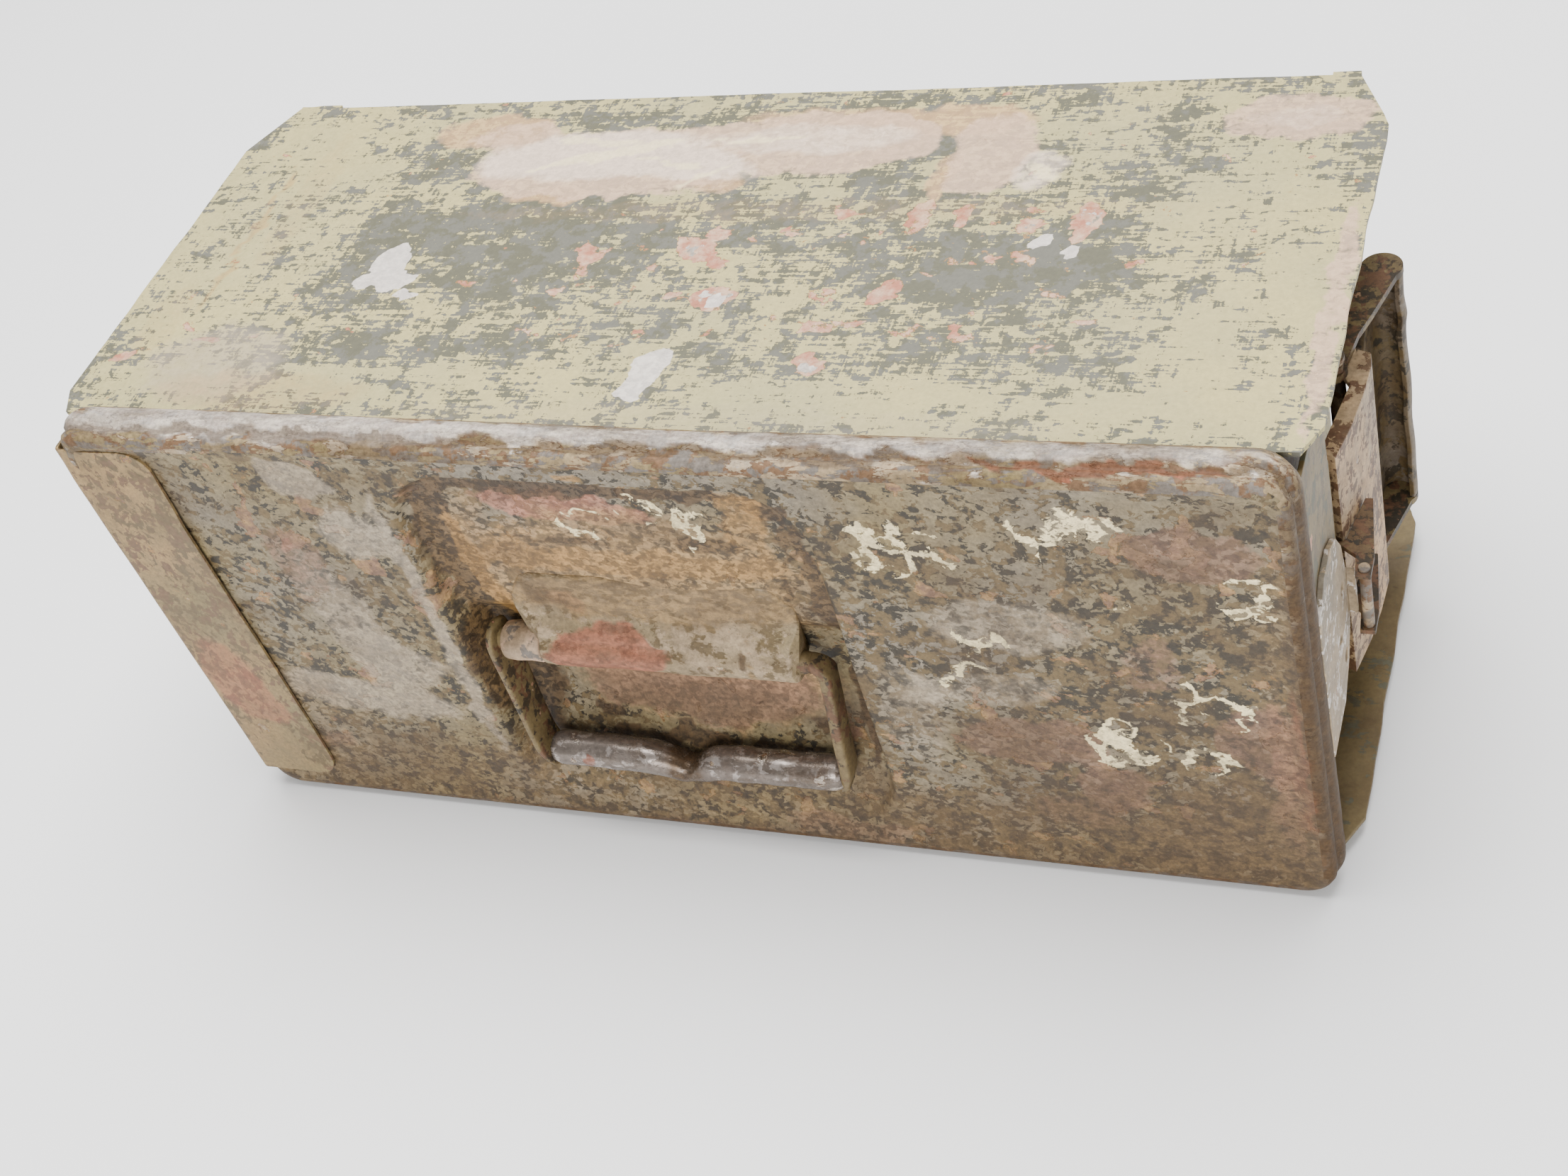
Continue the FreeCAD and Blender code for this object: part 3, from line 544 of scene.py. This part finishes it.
def rubber(name):
    """The seal: dull black rubber, dusty and fine-grained."""
    s = Shade(name)
    dust = s.grain(7, rough=0.7, shift=3)
    fine = s.grain(0.8, detail=3, shift=9)
    colour = s.mix(s.step(dust, 0.55, 0.12), BLACK, (0.07, 0.06, 0.05))
    s.feed(s.shader.inputs["Base Color"], colour)
    s.feed(s.shader.inputs["Roughness"], s.sum("MULTIPLY_ADD", fine, 0.2, 0.68))
    relief = s.add("Bump")
    relief.inputs["Distance"].default_value = 0.1 * MM
    s.feed(relief.inputs["Height"], fine)
    s.feed(s.shader.inputs["Normal"], relief.outputs["Normal"])
    return s.material


# ---- mesh helpers ----

def smooth(value, start, end):
    """0 before start, 1 after end, and an S-curve between."""
    t = min(max((value - start) / (end - start), 0.0), 1.0)
    return t * t * (3 - 2 * t)


def on_circle(centre, radius, degrees):
    """The point of a circle at an angle."""
    angle = math.radians(degrees)
    return centre[0] + radius * math.cos(angle), centre[1] + radius * math.sin(angle)


def wobble(x, y, z, size, amount):
    """A smooth, repeatable unevenness of the sheet."""
    return noise.noise(Vector((x, y, z)) / size) * amount


def piece(name, points, faces, body, *replaced, paint=None, paints=None, picks=None, marks=None):
    """A mesh in millimetres from the corner becomes a named piece of the object."""
    mesh = bpy.data.meshes.new(name)
    mesh.from_pydata([CORNER + Vector(point) * MM for point in points], [], faces)
    mesh.update()
    tidy = bmesh.new()
    tidy.from_mesh(mesh)
    bmesh.ops.remove_doubles(tidy, verts=tidy.verts, dist=0.01 * MM)
    bmesh.ops.dissolve_degenerate(tidy, dist=0.001 * MM, edges=tidy.edges)
    bmesh.ops.recalc_face_normals(tidy, faces=tidy.faces)
    tidy.to_mesh(mesh)
    tidy.free()
    item = bpy.data.objects.new(name, mesh)
    SCENE.collection.objects.link(item)
    for material in paints or [paint]:
        mesh.materials.append(material)
    if picks:
        for polygon in mesh.polygons:
            centre = (Vector(polygon.center) - CORNER) / MM
            polygon.material_index = picks(centre)
    mesh.shade_smooth()
    if marks:
        spread_marks(item, marks)
    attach(item, body)
    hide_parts(*replaced)
    return item


def thicken(item, thick, side=-1.0):
    sheet = item.modifiers.new("sheet", "SOLIDIFY")
    sheet.thickness = thick * MM
    sheet.offset = side
    sheet.use_even_offset = True
    return sheet


def round_edges(item, size, angle):
    """Softens every sharp edge, as bending, stamping and wear do."""
    edge = item.modifiers.new("worn_edges", "BEVEL")
    edge.width = size * MM
    edge.segments = 2
    edge.limit_method = "ANGLE"
    edge.angle_limit = math.radians(angle)
    even = item.modifiers.new("even_normals", "WEIGHTED_NORMAL")
    even.keep_sharp = True


def grid_faces(rows, columns, start=0, closed=False):
    """Quads between rows of points; a closed grid joins each row's last point to its first."""
    across = columns if closed else columns - 1
    return [(start + i * columns + j, start + i * columns + (j + 1) % columns,
             start + (i + 1) * columns + (j + 1) % columns, start + (i + 1) * columns + j)
            for i in range(rows - 1) for j in range(across)]


def loft(rings, start=0):
    """Closed rings of equal length joined into a skin, with its two ends capped."""
    points = [point for ring in rings for point in ring]
    count = len(rings[0])
    faces = grid_faces(len(rings), count, start, closed=True)
    faces.append(tuple(start + i for i in reversed(range(count))))
    last = start + (len(rings) - 1) * count
    faces.append(tuple(last + i for i in range(count)))
    return points, faces


def lofted(name, rings, body, node, **looks):
    """A solid piece made from rings."""
    points, faces = loft(rings)
    piece(name, points, faces, body, node, **looks)


def spaced(start, end, step):
    count = max(2, round(abs(end - start) / step) + 1)
    return [start + (end - start) * i / (count - 1) for i in range(count)]


# ---- lid ----

PAN_LEFT, PAN_RIGHT, PAN_LOW, PAN_HIGH = 111.5, 240.5, 14.0, 158.0
PAN_CORNER, PAN_SLOPE = 22.0, 0.4
# Depth of the pan's floor by height, upwards: ramp, deep floor, step behind the barrel, slope.
PAN_FLOOR = ((12, 1.5), (15, 1.5), (58, 15.5), (90, 15.5), (98, 9.2), (152, 5.2), (168, 4.4))
RIM_CORNER = 12.0
# The rim's section as inset and depth: face, edge roll, crease, rolled bead and the skirt's end.
RIM = ((12, FIELD), (9.5, 1.35), (7, 0.75), (5, 0.35), (3.4, 0.5), (2.2, 1.3), (1.5, 2.7),
       (1.5, 4.0), (1.9, 4.9), (1.4, 5.7), (0.5, 6.7), (0.05, 8.2), (0, 9.6), (0.2, 11.2),
       (0.8, 12.8), (1.8, 14.2), (2.8, 15.2), (3.2, SKIRT_END))


def pan_depth(z):
    """Depth of the pan's floor at a height."""
    for (low, depth_low), (high, depth_high) in zip(PAN_FLOOR, PAN_FLOOR[1:]):
        if low <= z <= high:
            return depth_low + (depth_high - depth_low) * (z - low) / (high - low)
    return FIELD


def eased_depth(z):
    """The same floor with its bends rounded."""
    return sum(pan_depth(z + shift) for shift in (-2.4, -1.2, 0, 1.2, 2.4)) / 5


def soft_min(a, b, reach):
    blend = max(reach - abs(a - b), 0.0) / reach
    return min(a, b) - blend * blend * reach / 4


def mouth_inset(x, z):
    """How far a point lies inside the pan's round-cornered mouth."""
    half_x, half_z = (PAN_RIGHT - PAN_LEFT) / 2, (PAN_HIGH - PAN_LOW) / 2
    dx = abs(x - (PAN_LEFT + PAN_RIGHT) / 2) - half_x + PAN_CORNER
    dz = abs(z - (PAN_LOW + PAN_HIGH) / 2) - half_z + PAN_CORNER
    outside = math.hypot(max(dx, 0), max(dz, 0)) + min(max(dx, dz), 0) - PAN_CORNER
    return -outside


def face_depth(x, z):
    """Depth of the lid's face: field, pan, and the sheet's bow and dents."""
    wall = (mouth_inset(x, z) + 1.2) / PAN_SLOPE
    floor = eased_depth(z) - FIELD
    pan = -soft_min(-soft_min(wall, floor, 2.6), -0.0, 1.8) if wall > -4 else 0.0
    dent = wobble(x, 3, z, 46, 0.5) + wobble(x, 9, z, 17, 0.16)
    quiet = smooth(min(x, LID_LONG - x, z, LID_WIDE - z), 11, 30)
    return FIELD + max(pan, 0.0) + dent * quiet


def bent(x, y, z):
    """The lid as it is bent now: its upper left corner is splayed out and its top rim bowed."""
    corner = smooth(z, 163, 170.5) * smooth(-x, -34, 2)
    x -= 3.6 * corner
    x += 1.1 * smooth(-x, -60, 0) * smooth(-z, -90, 0)
    z += 1.9 * smooth(-x, -230, 0) * smooth(z, 120, 171)
    return x, y, z


def rim_ring(inset, depth, xs, zs):
    """One loop of the rim: straight stretches at the face grid's lines, and round corners."""
    radius = RIM_CORNER - inset
    right, high = LID_LONG - RIM_CORNER, LID_WIDE - RIM_CORNER
    ring = [(x, depth, inset) for x in xs]
    turns = 8
    corners = ((right, RIM_CORNER, -90, zs, LID_LONG - inset, "z"),
               (right, high, 0, xs[::-1], LID_WIDE - inset, "x"),
               (RIM_CORNER, high, 90, zs[::-1], inset, "z"),
               (RIM_CORNER, RIM_CORNER, 180, None, 0, ""))
    for cx, cz, first, run, level, axis in corners:
        for i in range(1, turns):
            x, z = on_circle((cx, cz), radius, first + 90 * i / turns)
            ring.append((x, depth, z))
        if axis == "z":
            ring += [(level, depth, z) for z in run]
        elif axis == "x":
            ring += [(x, depth, level) for x in run]
    return ring


def refined(start, end, step, marks):
    """Grid lines from start to end, closer near the marked places."""
    lines = [start]
    while lines[-1] < end:
        near = min(abs(lines[-1] - place) for place in marks)
        lines.append(lines[-1] + (step * 0.5 if near < 9 else step))
    lines[-1] = end
    if lines[-1] - lines[-2] < step * 0.2:
        del lines[-2]
    return lines


def build_lid():
    """One sheet: the face with its pan, and the rolled rim down to the skirt's end."""
    xs = refined(RIM_CORNER, LID_LONG - RIM_CORNER, 2.2, (PAN_LEFT, PAN_RIGHT))
    zs = refined(RIM_CORNER, LID_WIDE - RIM_CORNER, 2.2, (PAN_LOW, 94, PAN_HIGH))
    rings = [rim_ring(inset, depth, xs, zs) for inset, depth in RIM]
    points = [(x, face_depth(x, z), z) for z in zs for x in xs]
    faces = grid_faces(len(zs), len(xs))
    start = len(points)
    for ring in rings:
        points += ring
    faces += grid_faces(len(rings), len(rings[0]), start, closed=True)
    shaped = []
    for x, y, z in points:
        rough = (wobble(x, y, z, 8, 0.22) + wobble(x, y, z, 30, 0.5)) * smooth(y, 2, 6)
        x, y, z = bent(x, y, z)
        inward = Vector((LID_LONG / 2 - x, 0, LID_WIDE / 2 - z)).normalized() * abs(rough)
        shaped.append((x + inward.x, y, z + inward.z))

    def on_rim(centre):
        edge = min(centre.x, LID_LONG - centre.x, centre.z, LID_WIDE - centre.z)
        return 1 if edge < 4.4 and centre.y < 17 and mouth_inset(centre.x, centre.z) < -6 else 0

    lid = piece("lid_pressing", shaped, faces, "lid", "lid_shell",
                paints=[face_paint(), rim_paint(), INSIDE_PAINT], picks=on_rim, marks=FACE_MARKS)
    if lid.data.polygons[0].normal.y > 0:
        lid.data.flip_normals()
    # The sheet's inner side takes the third paint.
    thicken(lid, 1.3).material_offset = 2
    round_edges(lid, 0.3, 60)


# ---- flat plates ----

def flat_sheet(outline, along, across):
    """A flat outline cut at lines along and across: its points as pairs, and its faces."""
    work = bmesh.new()
    work.faces.new([work.verts.new((a, b, 0)) for a, b in outline])
    for lines, normal in ((along, Vector((1, 0, 0))), (across, Vector((0, 1, 0)))):
        for line in lines:
            everything = work.verts[:] + work.edges[:] + work.faces[:]
            bmesh.ops.bisect_plane(work, geom=everything, plane_co=normal * line, plane_no=normal)
    work.verts.index_update()
    points = [(vertex.co.x, vertex.co.y) for vertex in work.verts]
    faces = [tuple(vertex.index for vertex in face.verts) for face in work.faces]
    work.free()
    return points, faces


def build_side_plate(name, paint, upper):
    """A plate with small corners cut off near the lid, big ones far from it, and two far tabs."""
    left, right = span(name, 0)
    near, far = span(name, 1)
    low, high = span(name, 2)
    small_run, small_rise = 4.6, 9.6
    big_run, big_rise = 10.9, 23.6
    ledge = far - 1.6
    tabs = [(right - big_run, 8), (left + big_run + 16, 16)]
    outline = [(left + small_run, near), (right - small_run, near), (right, near + small_rise),
               (right, ledge - big_rise)]
    for start, wide in tabs:
        outline += [(start, ledge), (start, far), (start - wide, far), (start - wide, ledge)]
    outline += [(left, ledge - big_rise), (left, near + small_rise)]
    grid = 1.8 if upper else 4.0
    flat, faces = flat_sheet(outline, spaced(left + 2, right - 2, grid),
                             spaced(near + 2, far - 2, grid))
    outer = high if upper else low
    way = -1 if upper else 1
    points = []
    for x, y in flat:
        edge = min(x - left, right - x, y - near, far - y)
        bow = abs(wobble(x, y, 20 if upper else 70, 90, 0.7)) + abs(wobble(x, y, 5, 22, 0.15))
        seam = 0.35 * math.exp(-((x - 17.5) / 1.6) ** 2)
        seam *= smooth(y, 60, 68) * smooth(-y, -140, -132)
        curl = 0.5 * smooth(-edge, -2.5, 0) * abs(noise.noise(Vector((x, y, 3)) / 14))
        x += wobble(x, y, 40, 12, 0.5) * smooth(-edge, -2, 0)
        y += wobble(x, y, 60, 12, 0.5) * smooth(-edge, -2, 0)
        points.append((x, y, outer + way * (bow + seam + curl)))
    plate = piece(name + "_sheet", points, faces, "box", name,
                  paints=[paint, INSIDE_PAINT if upper else paint],
                  marks=TOP_MARKS if upper else None)
    facing = plate.data.polygons[0].normal.z
    if (facing > 0) != upper:
        plate.data.flip_normals()
    thicken(plate, high - low).material_offset = 1
    round_edges(plate, 0.45, 50)


# ---- hinge leaf on the lid ----

def build_lid_leaf():
    """A strap that lies on the lid's left edge and wraps round its end to the hinge pin."""
    low, high = 10.5, 165.5
    wide = span("hinge_leaf_lid", 0)[1]
    corner, bend = 9.0, 2.4
    wrap = bend * math.pi / 2
    side = span("lid_shell", 1)[0] + 14.5
    arcs = []
    for centre, first in ((low + corner, -90), (high - corner, 0)):
        arcs += [on_circle((wide - corner, centre), corner, first + turn)
                 for turn in range(0, 91, 15)]
    outline = [(-wrap - side, low)] + arcs + [(-wrap - side, high)]
    folds = [-wrap * i / 6 for i in range(7)] + spaced(3, wide - 1, 3)
    flat, faces = flat_sheet(outline, spaced(-wrap - side + 3, -wrap - 1, 3) + folds,
                             spaced(low + 2, high - 2, 3.5))
    points = []
    for s, z in flat:
        lift = 0.6 * smooth(s, 16, wide) * smooth(z, 80, 96) * smooth(-z, -146, -134)
        face = 0.1 - lift + wobble(s, 0, z, 24, 0.3) + 0.5 * smooth(z, 150, 162)
        if s >= 0:
            x, y = s + 1.2, face
        elif s > -wrap:
            turn = -s / bend
            x, y = 1.2 - bend * math.sin(turn), face + bend * (1 - math.cos(turn))
        else:
            x, y = 1.2 - bend, face + bend - (s + wrap)
        points.append((x, y, z))
    leaf = piece("hinge_leaf_strap", points, faces, "lid", "hinge_leaf_lid", marks=STRIP_MARKS,
                 paint=strip_paint("paint_hinge_leaf", 37, marked=True,
                                   tints=((PRIMER_RED, 0.5, 0.25, 0.2),)))
    if max(leaf.data.polygons, key=lambda p: p.center.x).normal.y > 0:
        leaf.data.flip_normals()
    thicken(leaf, 1.0)
    round_edges(leaf, 0.3, 50)


def ring_about(centre, radius, axis, count=28):
    """A circle of points round an axis."""
    ring = []
    for i in range(count):
        angle = 2 * math.pi * i / count
        a, b = radius * math.cos(angle), radius * math.sin(angle)
        x, y, z = centre
        ring.append({"x": (x, y + a, z + b), "z": (x + a, y + b, z)}[axis])
    return ring


def build_knuckles():
    """The lid leaf's three rolled knuckles on the hinge pin, each tied to the leaf by its web."""
    points, faces = [], []
    start, long, gap, radius = 20.0, 26.4, 0.4, 4.2
    axle = (-4.2, 18.0)
    for number in (0, 2, 4):
        low, high = start + number * long + gap, start + (number + 1) * long - gap
        rings = []
        for z, size in ((low, radius - 0.6), (low + 0.6, radius),
                        (high - 0.6, radius), (high, radius - 0.6)):
            rings.append(ring_about((axle[0], axle[1], z), size, "z"))
        rings = [[(x, y, z + wobble(x, y, z, 5, 0.15)) for x, y, z in ring] for ring in rings]
        more, skins = loft(rings, len(points))
        points += more
        faces += skins
        section = ((-7.6, 17.6), (-6.2, 17.6), (-5.6, 12.0), (-1.4, 9.6), (-1.4, 8.0), (-7.0, 10.6))
        web = [[(x, y, z) for x, y in section] for z in (low, high)]
        more, skins = loft(web, len(points))
        points += more
        faces += skins
    piece("hinge_leaf_knuckles", points, faces, "lid", "hinge_leaf_lid",
          paint=strip_paint("paint_knuckles", 39))


# ---- carrying handle ----

PIVOT = (7.2, 83.5)
GRIP = (1.2, 38.2)


def build_grip():
    """The grip tube, bent down and pinched in its middle."""
    left, right = 127.5, 227.0
    middle = 174.0
    rings = []
    for x in spaced(left, right, 1.5):
        pinch = math.exp(-((x - middle) / 8.0) ** 2)
        nick = math.exp(-((x - middle - 1) / 2.6) ** 2)
        end = smooth(abs(x - (left + right) / 2), (right - left) / 2 - 2.5, (right - left) / 2)
        droop = 4.2 * pinch + 0.4 * math.sin((x - left) / (right - left) * math.pi)
        radius = 5.7 - 0.4 * pinch - 0.5 * nick - 0.9 * end + wobble(x, 0, 0, 9, 0.3)
        middle_z = GRIP[1] - droop
        ring = []
        for a, b, c in ring_about((x, GRIP[0] + 0.4 * pinch, middle_z), radius, "x", 32):
            cut = 1.4 * nick * smooth(c, middle_z, middle_z + 6)
            ring.append((a, b + wobble(a, b, c, 7, 0.25), c + wobble(c, a, b, 7, 0.25) - cut))
        rings.append(ring)
    lofted("handle_grip_tube", rings, "carry_handle", "handle_grip",
           paint=grip_paint(), marks=GRIP_MARKS)


def bar(path, half_thick, half_wide):
    """Rings of a flat, round-edged bar along a path of (point, thick axis, wide axis, scale)."""
    count, edge = 20, 0.45
    rings = []
    for centre, thin, wide, scale in path:
        ring = []
        for i in range(count):
            angle = 2 * math.pi * i / count
            c, s = math.cos(angle), math.sin(angle)
            a = math.copysign(abs(c) ** edge, c) * half_thick
            b = math.copysign(abs(s) ** edge, s) * half_wide * scale
            ring.append(tuple(Vector(centre) + Vector(thin) * a + Vector(wide) * b))
        rings.append(ring)
    return rings


def build_left_arm():
    """A wide flat arm with rounded ends, flared a little where it meets the grip."""
    steps = 30
    top, bottom = PIVOT[1] + 6.6, GRIP[1] - 6.0
    place, slant, flare = 120.8, 3.4, 2.4
    path = []
    for i in range(steps + 1):
        t = i / steps
        y = PIVOT[0] + (GRIP[0] - PIVOT[0]) * smooth(t, -0.1, 1.1)
        z = top + (bottom - top) * t
        ends = math.sqrt(max(0.0, 1 - (2 * t - 1) ** 10))
        foot = smooth(t, 0.82, 1.0)
        x = place + slant * t + flare * foot + wobble(t * 9, 121, 0, 3, 0.3)
        width = (7.2 - 1.0 * t) * (0.35 + 0.65 * ends)
        thin = Vector((1, 0, -0.5 * foot)).normalized()
        path.append(((x, y, z), thin, Vector((0, 1, 0)), width / 6.0))
    lofted("handle_arm_left_bar", bar(path, 1.15, 6.0), "carry_handle", "handle_arm_left",
           paint=ARM_PAINT)


def build_right_arm():
    """The rod's right end carried on as an arm: it bends down out of the pivot and flattens."""
    turn, turn_steps = 5.2, 8
    place, arm_steps = 224.6, 22
    path = []
    for i in range(turn_steps + 1):
        angle = math.radians(90 * i / turn_steps)
        spot = (place + turn * math.sin(angle), PIVOT[0], PIVOT[1] - turn + turn * math.cos(angle))
        thin = Vector((math.sin(angle), 0, math.cos(angle)))
        path.append((spot, thin, Vector((0, 1, 0)), 0.62 + 0.38 * i / turn_steps))
    top, bottom = PIVOT[1] - turn, GRIP[1] - 5.0
    for i in range(1, arm_steps + 1):
        t = i / arm_steps
        z = top + (bottom - top) * t
        y = PIVOT[0] + (GRIP[0] - PIVOT[0]) * smooth(t, -0.1, 1.0)
        foot = smooth(t, 0.84, 1.0)
        x = place + turn - 1.4 * t - 1.4 * foot + wobble(t * 9, 233, 0, 3, 0.3)
        thin = Vector((1, 0, 0.5 * foot)).normalized()
        path.append(((x, y, z), thin, Vector((0, 1, 0)), 1.0 - 0.25 * foot))
    lofted("handle_arm_right_bar", bar(path, 1.9, 4.4), "carry_handle", "handle_arm_right",
           paint=ARM_PAINT)


def build_pivot_rod():
    """The rod the handle turns on, with its right end bent over into the arm."""
    left, right = span("handle_pivot_rod", 0)[0], 226.0
    rings = []
    for x in spaced(left, right, 2.0):
        end = smooth(x, right - 8, right)
        start = smooth(-x, -left - 3, -left)
        radius = 4.0 - 0.8 * end ** 3 - 0.8 * start + wobble(x, 4, 2, 6, 0.2) * end
        rings.append(ring_about((x, PIVOT[0], PIVOT[1] - 0.6 * end), radius, "x", 24))
    lofted("handle_pivot_bar", rings, "carry_handle", "handle_pivot_rod", paint=ARM_PAINT)


def build_collar():
    """The loose collar between the left arm and the barrel."""
    left, right = span("handle_collar", 0)
    rings = []
    for x, size in ((left, 5.3), (left + 0.5, 6.0), (left + 4, 6.3),
                    (right - 5, 6.1), (right - 1, 6.5), (right, 5.8)):
        rings.append([(a, b + wobble(a, b, c, 6, 0.3), c + wobble(b, c, a, 6, 0.3))
                      for a, b, c in ring_about((x, PIVOT[0], PIVOT[1]), size, "x")])
    lofted("handle_collar_tube", rings, "carry_handle", "handle_collar", paint=COLLAR_PAINT)


def build_barrel():
    """The strap that rolls over the pivot rod and lies flat up the slope of the pan's floor."""
    left, right = span("handle_barrel_strap", 0)
    radius = 6.7
    top = 114.0
    outer = [on_circle(PIVOT, radius, angle) for angle in range(130, 322, 12)]
    flange = [(pan_depth(z) - proud, z)
              for z, proud in ((top, 0.0), (111.0, 0.3), (106.0, 0.6), (102.0, 0.9), (98.6, 1.3))]
    inner = [(15.0, 80.5), (15.0, 90.5), (pan_depth(99) + 0.5, 99.0), (pan_depth(top) + 0.5, top)]
    section = outer + inner + flange + [(6.6, 95.4), (4.6, 93.0), (3.0, 90.2)]
    rings = []
    for x in [left, left + 0.5] + spaced(left + 2.4, right - 2.4, 2.2) + [right - 0.5, right]:
        shrink = 0.35 if x in (left, right) else 0.0
        ring = []
        for y, z in section:
            away = Vector((PIVOT[0] - y, PIVOT[1] + 6 - z)).normalized() * shrink
            uneven = wobble(x, y, z, 12, 0.45)
            flat = smooth(z, 91, 99)
            spread = 3.4 * smooth(x, right - 12, right) - 6.5 * smooth(-x, -left - 14, -left)
            corner = smooth(abs(x - (left + right) / 2), (right - left) / 2 - 8, (right - left) / 2)
            low = 9.0 * corner ** 2 * smooth(z, 99, top)
            ring.append((x + flat * spread, y + away.x + uneven * (1 - 0.6 * flat) + 0.09 * low,
                         z + away.y + uneven * 0.5 - low))
        rings.append(ring)
    lofted("handle_barrel_roll", rings, "lid", "handle_barrel_strap",
           paint=barrel_paint(), marks=BARREL_MARKS)


def build_lever_channel():
    """The lever's pressed channel: a web between its arms that rolls round into the finger grip."""
    middle, half = 83.0, 44.4
    path = [(371.8, 101.5), (371.0, 106.0), (370.2, 111.0), (369.6, 116.0), (369.4, 121.0),
            (369.4, 126.0)]
    path += [on_circle((375.0, 131.0), 5.1, angle) for angle in range(186, -31, -12)]
    stations = spaced(middle - half, middle + half, 3.2)
    points = []
    for z in stations:
        cheek = smooth(abs(z - middle), 37.5, 40.5)
        for x, y in path:
            y = max(y, 101.5 + 19.5 * cheek)
            dent = wobble(x, y, z, 16, 0.7) + 0.5 * math.exp(-((z - 112) / 3.0) ** 2)
            points.append((x + dent * smooth(x, 370, 381), y + 0.6 * dent, z))
    paint = hardware_paint("paint_lever_channel", 139, coat=(STEEL_DARK, OLIVE),
                           base=(OLIVE, SHADOWED), flake=0.5, chip_at=0.75, grime_at=0.5)
    faces = grid_faces(len(stations), len(path))
    channel = piece("lever_channel", points, faces, "latch_lever", "lever_grip", paint=paint)
    thicken(channel, 1.7, 0.0)
    round_edges(channel, 0.4, 60)


# ---- paints, pieces and the rest of the frame ----

INSIDE_PAINT = side_paint("paint_inside", 167, coat=(SAGE_PALE, OLIVE), grime_at=0.5, grime_size=50)
ARM_PAINT = hardware_paint("paint_handle_arms", 67, coat=(OLIVE, KHAKI), coat_at=0.46)
COLLAR_PAINT = hardware_paint("paint_collar", 71, coat=(PINK, STONE), base=(STEEL_DARK, PINK),
                              coat_at=0.48)
LOWER_PAINT = side_paint("paint_lower_plate", 83, coat=(KHAKI, OLIVE), coat_at=0.42)

build_lid()
build_side_plate("side_plate_upper", top_paint(), True)
build_side_plate("side_plate_lower", LOWER_PAINT, False)
build_lid_leaf()
build_knuckles()
build_grip()
build_left_arm()
build_right_arm()
build_pivot_rod()
build_collar()
build_barrel()
build_lever_channel()

CARRIED = {
    "end_and_bottom_wrap": side_paint("paint_wrap", 91, base=(OLIVE, KHAKI), coat_at=0.45,
                                      grime_at=0.54),
    "mouth_neck": side_paint("paint_neck", 97, coat=(OLIVE, KHAKI)),
    "hinge_leaf_body": strip_paint("paint_body_leaf", 101),
    "hinge_pin": raw_steel("steel_hinge_pin", 103),
    "latch_bracket": hardware_paint("paint_bracket", 107),
    "lever_pivot_rivets": raw_steel("steel_rivets", 109),
    "lid_seal": rubber("rubber_seal"),
    "end_apron": side_paint("paint_apron", 113, coat=(KHAKI, OLIVE), coat_size=9, chip_size=8),
    "hasp_plate": hardware_paint("paint_hasp", 127, coat=(STONE, BLUE_GREY), base=(STEEL, STONE),
                                 coat_at=0.45, grime_at=0.64),
    "lever_arm_upper": hardware_paint("paint_lever_upper", 131, coat=(KHAKI, OLIVE), flake=0.5),
    "lever_arm_lower": hardware_paint("paint_lever_lower", 137, coat=(KHAKI, OLIVE), flake=0.5),
    "link_pin": raw_steel("steel_link_pin", 149),
    "latch_link_plate": hardware_paint("paint_link", 151, coat=(STONE, TAN), base=(BROWN, RUST),
                                       coat_size=7, flake_size=2.4, coat_at=0.47, chip_at=0.8,
                                       grime_at=0.56),
    "link_lugs": hardware_paint("paint_lugs", 157, coat=(RUST, OLIVE)),
    "hook_cross_pin": raw_steel("steel_cross_pin", 163),
}
for node, material in CARRIED.items():
    for place in NODES[node].material_slots:
        place.material = material
    weld = NODES[node].modifiers.new("weld", "WELD")
    weld.merge_threshold = 0.01 * MM
    round_edges(NODES[node], 0.28, 40)


# ---- floor, light and camera ----

def build_floor():
    mesh = bpy.data.meshes.new("floor")
    reach = 4.0
    corners = [(-reach, -reach, 0), (reach, -reach, 0), (reach, reach, 0), (-reach, reach, 0)]
    mesh.from_pydata(corners, [], [(0, 1, 2, 3)])
    floor = bpy.data.objects.new("floor", mesh)
    SCENE.collection.objects.link(floor)
    s = Shade("floor_paper")
    soft = s.grain(300, detail=3)
    s.feed(s.shader.inputs["Base Color"], s.mix(soft, (0.90, 0.90, 0.90), (0.93, 0.93, 0.93)))
    s.shader.inputs["Roughness"].default_value = 0.9
    mesh.materials.append(s.material)


def soft_light(name, place, aim, size, power):
    lamp = bpy.data.lights.new(name, "AREA")
    lamp.shape = "DISK"
    lamp.size = size
    lamp.energy = power
    item = bpy.data.objects.new(name, lamp)
    item.location = place
    item.rotation_euler = (Vector(aim) - Vector(place)).to_track_quat("-Z", "Y").to_euler()
    SCENE.collection.objects.link(item)


def build_world(strength):
    world = bpy.data.worlds.new("studio")
    world.use_nodes = True
    world.node_tree.nodes["Background"].inputs["Color"].default_value = (1.0, 1.0, 1.0, 1)
    world.node_tree.nodes["Background"].inputs["Strength"].default_value = strength
    SCENE.world = world


def build_camera():
    """The photo's camera, worked out from the rule's inch marks and the lid's edges."""
    lens = bpy.data.cameras.new("camera")
    lens.lens = 49.803
    lens.sensor_width = 36
    camera = bpy.data.objects.new("camera", lens)
    camera.location = (0.27616, -0.44807, 0.54167)
    camera.rotation_euler = Euler([math.radians(angle) for angle in (44.147, 14.427, 18.037)])
    SCENE.collection.objects.link(camera)
    SCENE.camera = camera


build_floor()
build_world(0.46)
soft_light("overhead", (-0.1, 0.3, 1.6), (0, 0, 0.1), 1.6, 72)
soft_light("front", (0.3, -1.45, 0.6), (0, 0, 0.1), 0.9, 20)
build_camera()
